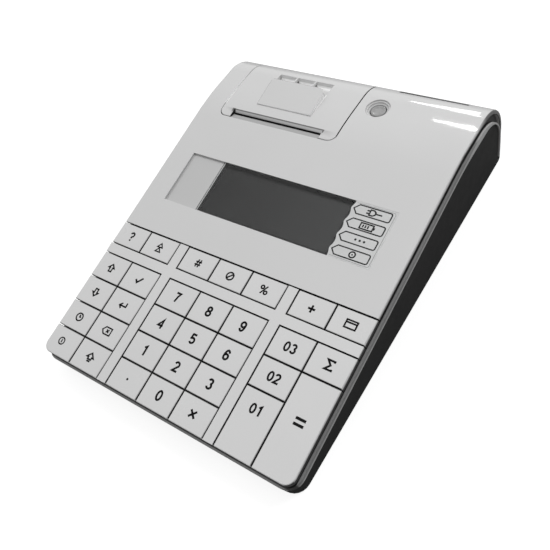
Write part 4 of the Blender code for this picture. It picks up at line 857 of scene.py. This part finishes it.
CHECK = [(-2.0, 0.1), (-0.6, -1.5), (2.1, 1.8)]
RETURN_SHAFT = [(2.1, 1.9), (2.1, -0.4), (-2.0, -0.4)]
RETURN_HEAD = [(-0.6, 1.1), (-2.2, -0.4), (-0.6, -1.9)]
DELETE_BOX = [(-3.0, 0), (-1.4, 1.9), (2.8, 1.9), (2.8, -1.9), (-1.4, -1.9)]
DELETE_CROSS = [([(-0.3, -0.85), (1.4, 0.85)], False), ([(-0.3, 0.85), (1.4, -0.85)], False)]
SHIFT_ARROW = [(0, 2.3), (2.2, 0), (1.1, 0), (1.1, -1.1), (-1.1, -1.1), (-1.1, 0), (-2.2, 0)]
FEED_UPPER = [(-1.6, 0.35), (1.6, 0.35), (0, 2.6)]
FEED_LOWER = [(-1.6, -2.3), (1.6, -2.3), (0, -0.05)]
CARD = [(-2.8, -1.9), (2.8, -1.9), (2.8, 1.9), (-2.8, 1.9)]
POWER_BAR = [(0, -0.95), (0, 0.95)]
VOID_BAR = [(-1.35, -1.35), (1.35, 1.35)]
CARD_STRIPE = [(-2.8, 0.75), (2.8, 0.75)]
TIMES_SIGN = [([(-1.7, -1.7), (1.7, 1.7)], False), ([(-1.7, 1.7), (1.7, -1.7)], False)]
EQUALS_SIGN = [([(-2.6, -1.3), (2.6, -1.3)], False), ([(-2.6, 1.3), (2.6, 1.3)], False)]
SIGMA = [(1.7, 1.5), (1.7, 2.2), (-1.7, 2.2), (0.4, 0), (-1.7, -2.2), (1.7, -2.2), (1.7, -1.5)]


def line(*points):
    return (list(points), False)


# Each key's lines, dots as (x, y, radius), line width and shift of the whole
LEGENDS = {
    "key_power": ([(ring((0, 0), 1.85), True), (POWER_BAR, False)], [], 0.66, (-1.4, 0.4)),
    "key_shift": ([(SHIFT_ARROW, True), line((-1.1, -2.1), (1.1, -2.1))], [], ICON_LINE, (0, 0)),
    "key_clock": ([(ring((0, 0), 2.1), True), line((0, 1.3), (0, 0), (1.1, 0))], [], 0.76, (0, 0)),
    "key_clear": ([(DELETE_BOX, True), *DELETE_CROSS], [], 0.7, (0, 0)),
    "key_down": (upside_down([(ARROW, True)]), [], ICON_LINE, (0, 0)),
    "key_up": ([(ARROW, True)], [], ICON_LINE, (0, 0)),
    "key_back": ([(RETURN_SHAFT, False), (RETURN_HEAD, False)], [], 0.8, (0, 0)),
    "key_enter": ([(CHECK, False)], [], 0.95, (0, 0)),
    "key_help": (HELP_MARK, [(0.05, -2.2, 0.56)], 0.92, (0, 0)),
    "key_feed": ([(FEED_UPPER, True), (FEED_LOWER, True)], [], 0.66, (0, 0)),
    "key_point": ([], [(0, 0, 0.62)], ICON_LINE, (0, -0.5)),
    "key_quantity": (TIMES_SIGN, [], 0.98, (0, 0)),
    "key_item": (NUMBER_SIGN, [], 0.74, (0, 0)),
    "key_void": ([(ring((0, 0), 2.0), True), (VOID_BAR, False)], [], 0.78, (0, 0)),
    "key_percent": (PERCENT_SIGN, [], 0.74, (0, 0)),
    "key_total": (EQUALS_SIGN, [], 1.2, (0, 3.0)),
    "key_subtotal": ([(SIGMA, False)], [], 0.88, (0, 0)),
    "key_markup": ([line((-1.9, 0), (1.9, 0)), line((0, -1.9), (0, 1.9))], [], 0.98, (0, 0)),
    "key_payment": ([(CARD, True), (CARD_STRIPE, False)], [], 0.74, (0, 0)),
}


def figures(text, shift=(0, 0)):
    """The lines of a row of figures, smaller where there are two."""
    size = 1 if len(text) == 1 else PAIR_SIZE
    lines = []
    for n, figure in enumerate(text):
        across = (n - (len(text) - 1) / 2) * FIGURE_PITCH
        for points, closed in FIGURES[figure]:
            lines.append(([((x + across) * size, y * size) for x, y in points], closed))
    return lines, [], FIGURE_LINE * size, shift


for digit in range(10):
    LEGENDS[f"key_{digit}"] = figures(str(digit))
LEGENDS["key_group_1"] = figures("01", (0, 7.0))
LEGENDS["key_group_2"] = figures("02")
LEGENDS["key_group_3"] = figures("03")


def flat_drawing(lines, dots, width):
    """A drawing in millimetres as flat faces in metres."""
    bm = bmesh.new()
    for points, closed in lines:
        add_strip(bm, [(x * MM, y * MM) for x, y in points], width * MM, closed)
    for x, y, radius in dots:
        add_fill(bm, ring((x * MM, y * MM), radius * MM, 20))
    return bm


def face_box(node):
    """A node's lowest and highest corners in the sloping face's own axes."""
    turned_points = [FACE.inverted() @ v.co for v in node.data.vertices]
    low = Vector(min(p[axis] for p in turned_points) for axis in range(3))
    high = Vector(max(p[axis] for p in turned_points) for axis in range(3))
    return low, high


def add_legends():
    for name, (lines, dots, width, shift) in LEGENDS.items():
        low, high = face_box(nodes[name])
        bm = flat_drawing(lines, dots, width * LEGEND_WEIGHT)
        thicken(bm, high.z - INK_SUNK, high.z + INK_LIFT)
        middle = (low + high) / 2
        centre = (middle.x + shift[0] * MM, middle.y + shift[1] * MM, 0)
        piece(f"{name}_legend", bm, INK, name, FACE @ Matrix.Translation(centre))


add_legends()


# Display

LENS_LOW = (-41.1 * MM, 100.46 * MM, -0.9 * MM)
LENS_HIGH = (63.64 * MM, 131.94 * MM, 0.0)
PRINT_LEFT = 41.9 * MM
PRINT_LOW = -1.02 * MM
PRINT_TOP = -0.06 * MM
BORDER_LOW = -1.17 * MM
BORDER_TOP = -1.05 * MM
TAG_LEFT = 41.6 * MM
TAG_POINT = 2.3 * MM
TAG_LENGTH = 19.8 * MM
TAG_HEIGHT = 5.0 * MM
TAG_ROUND = 1.0 * MM
TAG_CENTRES = (104.8 * MM, 112.6 * MM, 120.3 * MM, 128.0 * MM)
TAG_LINE = 0.66 * MM
TAG_ICON_LINE = 0.62
TAG_ICON_SCALE = 1.22
RULE_INSET = 0.8 * MM
RULE_LINE = 0.24 * MM

# The label print's left edge bulges round each tag's point, by (step back, step aside) in mm
PRINT_TIP = TAG_LEFT - 1.4 * MM
BULGE = ((0.85, -3.3), (0.55, -1.9), (0.08, -0.7), (0, 0), (0.08, 0.7), (0.55, 1.9), (0.85, 3.3))
BULGE_BACK = BULGE[0][0] * MM

# The border print's four bars, as low and high corners in mm
BORDER_BARS = (
    ((-40.75, 100.9), (-39.5, 131.8)),
    ((39.5, 100.9), (42.9, 131.8)),
    ((-39.5, 100.9), (39.5, 101.75)),
    ((-39.5, 130.3), (39.5, 131.8)),
)

THREE_DOTS = ([], [(-1.9, 0, 0.5), (0, 0, 0.5), (1.9, 0, 0.5)])
BATTERY = (
    [
        ([(-3.0, -1.25), (2.5, -1.25), (2.5, 1.25), (-3.0, 1.25)], True),
        line((3.0, -0.55), (3.0, 0.55)),
        line((-1.8, -0.65), (-1.8, 0.65)),
        line((-0.7, -0.65), (-0.7, 0.65)),
        line((0.4, -0.65), (0.4, 0.65)),
    ],
    [],
)
PLUG = (
    [
        ([(-1.9, -1.2), (-0.4, -1.2), (0.5, -0.5), (0.5, 0.5), (-0.4, 1.2), (-1.9, 1.2)], True),
        line((-3.3, 0.6), (-1.9, 0.6)),
        line((-3.3, -0.6), (-1.9, -0.6)),
        line((0.5, 0), (3.4, 0)),
    ],
    [],
)
TAG_ICONS = (([(ring((0, 0), 1.25, 20), True)], [(0, 0, 0.35)]), THREE_DOTS, BATTERY, PLUG)


def right_end(right, front, rear, turn):
    """The two round corners at the right end of an outline."""
    corners = arc((right - turn, front + turn), (turn, turn), 270, 90, 5)
    return corners + arc((right - turn, rear - turn), (turn, turn), 0, 90, 5)


def tag_outline(centre):
    """An arrow-shaped tag that points left, with round corners on its right."""
    front = centre - TAG_HEIGHT / 2
    rear = centre + TAG_HEIGHT / 2
    shoulder = TAG_LEFT + TAG_POINT
    corners = right_end(TAG_LEFT + TAG_LENGTH, front, rear, TAG_ROUND)
    return [(TAG_LEFT, centre), (shoulder, front), *corners, (shoulder, rear)]


def add_lens():
    shape = round_edges(box(LENS_LOW, LENS_HIGH), 0.06 * MM)
    lens = piece("display_lens", shape, LENS, "base", FACE)
    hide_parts("display_window")


def add_border_print():
    """The black border round the screen, printed on the lens and showing past the tags' points."""
    bm = bmesh.new()
    for low, high in BORDER_BARS:
        low = (low[0] * MM, low[1] * MM, BORDER_LOW)
        high = (high[0] * MM, high[1] * MM, BORDER_TOP)
        blend_in(bm, box(low, high))
    piece("screen_border", bm, BORDER, "base", FACE)


def add_label_print():
    """The pale print under the lens, right of the screen, with a wavy left edge."""
    front, rear = LENS_LOW[1], LENS_HIGH[1]
    left_edge = [(PRINT_TIP + BULGE_BACK, front)]
    for centre in TAG_CENTRES:
        left_edge += [(PRINT_TIP + back * MM, centre + side * MM) for back, side in BULGE]
    left_edge.append((PRINT_TIP + BULGE_BACK, rear))
    bm = bmesh.new()
    add_fill(bm, [(LENS_HIGH[0], front), (LENS_HIGH[0], rear), *left_edge[::-1]])
    thicken(bm, PRINT_LOW, PRINT_TOP)
    piece("label_print", bm, PRINT, "base", FACE)


def add_tags():
    """Four tags with plain signs: a ring, three dots, a battery and a plug."""
    lift = (PRINT_TOP - 0.01 * MM, PRINT_TOP + 0.012 * MM)
    for n, (centre, (lines, dots)) in enumerate(zip(TAG_CENTRES, TAG_ICONS)):
        bm = flat_drawing(lines, dots, TAG_ICON_LINE)
        bm.transform(Matrix.Scale(TAG_ICON_SCALE, 4))
        bm.transform(Matrix.Translation((TAG_LEFT + TAG_POINT / 2 + TAG_LENGTH / 2, centre, 0)))
        add_strip(bm, tag_outline(centre), TAG_LINE, True)
        thicken(bm, *lift)
        piece(f"tag_{n + 1}", bm, TAG_INK, "base", FACE)
    front = LENS_LOW[1] + RULE_INSET
    rear = LENS_HIGH[1] - RULE_INSET
    corners = right_end(LENS_HIGH[0] - RULE_INSET, front, rear, TAG_ROUND)
    bm = bmesh.new()
    add_strip(bm, [(PRINT_LEFT, front), *corners, (PRINT_LEFT, rear)], RULE_LINE)
    thicken(bm, *lift)
    piece("tag_rule", bm, RULE_INK, "base", FACE)


add_lens()
add_border_print()
add_label_print()
add_tags()


# Fasteners, contacts and the battery door's ribs

SCREW_PLACES = (
    (-34.3 * MM, -90.96 * MM),
    (34.3 * MM, -90.96 * MM),
    (-70.0 * MM, -15.96 * MM),
    (70.0 * MM, -15.96 * MM),
    (-70.0 * MM, 28.04 * MM),
    (70.0 * MM, 28.04 * MM),
)
SCREW_SEAT = 4.95 * MM
SCREW_TIP = 16.0 * MM
SCREW_PROFILE = (
    (0.5 * MM, 3.05 * MM),
    (1.6 * MM, 3.15 * MM),
    (2.3 * MM, 3.5 * MM),
    (2.6 * MM, 4.1 * MM),
    (2.6 * MM, SCREW_SEAT),
    (1.15 * MM, SCREW_SEAT),
    (1.15 * MM, SCREW_TIP - MM),
    (0.3 * MM, SCREW_TIP),
)
CROSS_LONG = 1.5 * MM
CROSS_SHORT = 0.34 * MM
CROSS_LEVELS = (2.5 * MM, 4.2 * MM)
SOCKET_MIDDLE = 12.4 * MM
SOCKET_MOUTH = 102.85 * MM
DATA_X = 43.0 * MM
POWER_X = 56.0 * MM
CONTACTS = 6
CONTACT_PITCH = 1.25 * MM
CONTACT_HALF = 0.3 * MM
CONTACT_START = 9.0 * MM
CONTACT_END = 1.2 * MM
CONTACT_BEND = 5 * MM
CONTACT_SLANT = 0.9 * MM
POWER_PROFILE = (
    (1.06 * MM, -9.7 * MM),
    (1.06 * MM, -1.1 * MM),
    (0.9 * MM, -0.6 * MM),
    (0.45 * MM, -0.25 * MM),
)
SEAL_PLACE = Vector((24.0 * MM, 79.5 * MM, TOP_LEVEL))
SEAL_PROFILE = (
    (4.55 * MM, -3.3 * MM),
    (4.55 * MM, -1.9 * MM),
    (4.75 * MM, -1.65 * MM),
    (5.25 * MM, -1.6 * MM),
    (5.45 * MM, -1.4 * MM),
    (5.5 * MM, -0.95 * MM),
    (5.7 * MM, -0.7 * MM),
    (6.3 * MM, -0.65 * MM),
    (6.45 * MM, -0.8 * MM),
    (6.45 * MM, -3.3 * MM),
)
DOOR_UNDER = 1.0 * MM
DOOR_OVERLAP = 0.05 * MM
DOOR_RIBS = 6
RIB_FRONT = 14.0
RIB_PITCH = 2.2
RIB_REACH = 9 * MM
RIB_WIDTH = 1.0 * MM
RIB_LIFT = 0.35 * MM
ARROW_LIFT = 0.25 * MM
ARROW_CORNERS = ((-3 * MM, 8 * MM), (3 * MM, 8 * MM), (0, 4 * MM))


def add_screws():
    """Cross-recess screws in the housing's bores, seen from below."""
    for n, (x, y) in enumerate(SCREW_PLACES):
        bm = turned(SCREW_PROFILE, 28)
        for across, along in ((CROSS_LONG, CROSS_SHORT), (CROSS_SHORT, CROSS_LONG)):
            low = (-across, -along, CROSS_LEVELS[0])
            high = (across, along, CROSS_LEVELS[1])
            bm = carved(bm, box(low, high))
        place = Matrix.Translation((x, y, 0))
        piece(f"housing_screw_{n + 1}", bm, SCREW, "base", place)


def add_seal_ring():
    """The white ring stepped down round the seal plug."""
    bm = turned(SEAL_PROFILE, 40, closed=True)
    place = Matrix.Translation(SEAL_PLACE)
    soften(piece("seal_ring", bm, RING, "base", place))


def add_contacts():
    """Six sprung strips in the data socket and the sleeve on the power socket's pin."""
    bm = bmesh.new()
    for n in range(CONTACTS):
        x = DATA_X + (n - 2.5) * CONTACT_PITCH
        low = (x - CONTACT_HALF, SOCKET_MOUTH - CONTACT_START, SOCKET_MIDDLE + 2.2 * MM)
        high = (x + CONTACT_HALF, SOCKET_MOUTH - CONTACT_END, SOCKET_MIDDLE + 2.5 * MM)
        strip = box(low, high)
        for vert in strip.verts:
            outer = vert.co.y > SOCKET_MOUTH - CONTACT_BEND
            vert.co.z += CONTACT_SLANT if outer else -CONTACT_SLANT
        blend_in(bm, round_edges(strip, 0.06 * MM))
    piece("data_contacts", bm, GOLD, "base")
    place = Matrix.Translation((POWER_X, SOCKET_MOUTH, SOCKET_MIDDLE))
    place = place @ Matrix.Rotation(radians(-90), 4, "X")
    piece("power_contact", turned(POWER_PROFILE, 24), STEEL, "base", place)


def add_door_ribs():
    """Grip ribs and an opening arrow under the battery door."""
    bm = bmesh.new()
    top = DOOR_UNDER + DOOR_OVERLAP
    for n in range(DOOR_RIBS):
        y = (RIB_FRONT + RIB_PITCH * n) * MM
        rib = box((-RIB_REACH, y, DOOR_UNDER - RIB_LIFT), (RIB_REACH, y + RIB_WIDTH, top))
        blend_in(bm, round_edges(rib, 0.12 * MM))
    arrow = bmesh.new()
    add_fill(arrow, ARROW_CORNERS)
    thicken(arrow, DOOR_UNDER - ARROW_LIFT, top)
    blend_in(bm, arrow)
    piece("door_ribs", bm, DARK, "door")


add_screws()
add_seal_ring()
add_contacts()
add_door_ribs()


# Stage

WORLD_TILT = Vector((-0.44, 0.34, 0.84)).normalized()
WORLD_FROM = (-0.15, 0.95)
WORLD_TO = (0.145, 0.98)
FLOOR_HALF = 3
FLOOR_FADE = (0.1, 0.45)
FLOOR_GLOW = (0.84, 1)
LAMP_PLACE = (0.5, 0.5, 0.95)
LAMP_TARGET = (0, 0, 0.02)
LAMP_SIZE = 0.35
LAMP_POWER = 4.5

# Panels whose mirror images are the two streaks on the cover, right of the lid
UPPER_GLOW = (
    (-0.520, 1.20, 0.690),
    (-0.346, 1.128, 0.881),
    (-0.352, 1.365, 0.439),
    (-0.520, 1.24, 0.610),
)
LOWER_GLOW = (
    (-0.456, 0.990, 0.985),
    (-0.344, 0.996, 1.012),
    (-0.350, 1.008, 0.999),
    (-0.456, 0.992, 0.981),
)


def grade_world():
    """White light from above and behind, falling off to the front. The camera sees plain white."""
    world = bpy.data.worlds.new("studio")
    bpy.context.scene.world = world
    world.use_nodes = True
    tree = world.node_tree
    place = tree.nodes.new("ShaderNodeTexCoord")
    reach = tree.nodes.new("ShaderNodeVectorMath")
    reach.operation = "DOT_PRODUCT"
    reach.inputs[1].default_value = WORLD_TILT
    tree.links.new(place.outputs["Generated"], reach.inputs[0])
    grade = tree.nodes.new("ShaderNodeMapRange")
    grade.interpolation_type = "SMOOTHSTEP"
    grade.inputs["From Min"].default_value = WORLD_FROM[0]
    grade.inputs["From Max"].default_value = WORLD_FROM[1]
    grade.inputs["To Min"].default_value = WORLD_TO[0]
    grade.inputs["To Max"].default_value = WORLD_TO[1]
    tree.links.new(reach.outputs["Value"], grade.inputs["Value"])
    back = tree.nodes["Background"]
    back.inputs["Color"].default_value = (1, 1, 1, 1)
    tree.links.new(grade.outputs["Result"], back.inputs["Strength"])
    shown = tree.nodes.new("ShaderNodeBackground")
    shown.inputs["Color"].default_value = (1, 1, 1, 1)
    shown.inputs["Strength"].default_value = 1.0
    path = tree.nodes.new("ShaderNodeLightPath")
    direct = tree.nodes.new("ShaderNodeMath")
    direct.operation = "LESS_THAN"
    direct.inputs[1].default_value = 0.5
    tree.links.new(path.outputs["Diffuse Depth"], direct.inputs[0])
    through = tree.nodes.new("ShaderNodeMath")
    through.operation = "MULTIPLY"
    tree.links.new(path.outputs["Is Transmission Ray"], through.inputs[0])
    tree.links.new(direct.outputs[0], through.inputs[1])
    first = tree.nodes.new("ShaderNodeMath")
    first.operation = "MAXIMUM"
    tree.links.new(path.outputs["Is Camera Ray"], first.inputs[0])
    tree.links.new(through.outputs[0], first.inputs[1])
    mix = tree.nodes.new("ShaderNodeMixShader")
    tree.links.new(first.outputs[0], mix.inputs["Fac"])
    tree.links.new(back.outputs["Background"], mix.inputs[1])
    tree.links.new(shown.outputs["Background"], mix.inputs[2])
    tree.links.new(mix.outputs["Shader"], tree.nodes["World Output"].inputs["Surface"])


def floor_finish():
    """A pale floor that turns white away from the object, and that isn't there from below."""
    finish = Finish("floor_finish", gloss=0.9, specular=0.1)
    speckle = finish.noise(40 * MM, 4)
    path = finish.node("ShaderNodeLightPath")
    pale = finish.mix(finish.spread(speckle, 0, 1), grey(138), grey(142))
    finish.colour(finish.mix(path.outputs["Is Camera Ray"], grey(140), pale))
    reach = finish.node("ShaderNodeVectorMath", operation="LENGTH")
    finish.link(finish.place, reach.inputs[0])
    away = finish.spread(reach.outputs["Value"], *FLOOR_GLOW, *FLOOR_FADE)
    glow = finish.node("ShaderNodeEmission")
    seen = finish.join("MULTIPLY", [away, path.outputs["Is Camera Ray"]])
    finish.link(seen, glow.inputs["Strength"])
    shown = finish.node("ShaderNodeAddShader")
    finish.link(finish.shader.outputs["BSDF"], shown.inputs[0])
    finish.link(glow.outputs["Emission"], shown.inputs[1])
    side = finish.node("ShaderNodeNewGeometry")
    gone = finish.node("ShaderNodeBsdfTransparent")
    both = finish.node("ShaderNodeMixShader")
    finish.link(side.outputs["Backfacing"], both.inputs["Fac"])
    finish.link(shown.outputs["Shader"], both.inputs[1])
    finish.link(gone.outputs["BSDF"], both.inputs[2])
    finish.link(both.outputs["Shader"], finish.tree.nodes["Material Output"].inputs["Surface"])
    return finish.material


def stage_mesh(name, bm, material):
    mesh = bpy.data.meshes.new(name)
    bm.to_mesh(mesh)
    bm.free()
    mesh.materials.append(material)
    obj = bpy.data.objects.new(name, mesh)
    bpy.context.scene.collection.objects.link(obj)
    return obj


def add_floor():
    bm = bmesh.new()
    bmesh.ops.create_grid(bm, x_segments=1, y_segments=1, size=FLOOR_HALF)
    stage_mesh("floor", bm, floor_finish())


def add_glow(name, corners, strength):
    """A bright panel that only shows as a mirror image in glossy plastic."""
    finish = Finish(name)
    glow = finish.node("ShaderNodeEmission")
    glow.inputs["Strength"].default_value = strength
    finish.link(glow.outputs["Emission"], finish.tree.nodes["Material Output"].inputs["Surface"])
    bm = bmesh.new()
    bm.faces.new([bm.verts.new(corner) for corner in corners])
    panel = stage_mesh(name, bm, finish.material)
    panel.visible_camera = False
    panel.visible_shadow = False
    panel.visible_diffuse = False
    panel.visible_transmission = False


def add_lamp(name, place, target, size, power):
    """A square lamp that glossy surfaces don't mirror."""
    light = bpy.data.lights.new(name, "AREA")
    light.energy = power
    light.size = size
    lamp = bpy.data.objects.new(name, light)
    lamp.location = place
    lamp.visible_glossy = False
    lamp.rotation_mode = "QUATERNION"
    lamp.rotation_quaternion = (Vector(target) - Vector(place)).to_track_quat("-Z", "Y")
    bpy.context.scene.collection.objects.link(lamp)


def add_camera():
    data = bpy.data.cameras.new("camera")
    data.lens = CAMERA_LENS
    data.sensor_width = SENSOR_WIDTH
    data.clip_start = 0.01
    camera = bpy.data.objects.new("camera", data)
    camera.location = CAMERA_PLACE
    camera.rotation_mode = "QUATERNION"
    camera.rotation_quaternion = Quaternion(CAMERA_TURN)
    bpy.context.scene.collection.objects.link(camera)
    bpy.context.scene.camera = camera


grade_world()
add_floor()
add_lamp("side_lamp", LAMP_PLACE, LAMP_TARGET, LAMP_SIZE, LAMP_POWER)
add_glow("upper_glow", UPPER_GLOW, 9.0)
add_glow("lower_glow", LOWER_GLOW, 24.0)
add_camera()

bpy.context.scene.view_settings.view_transform = "Standard"
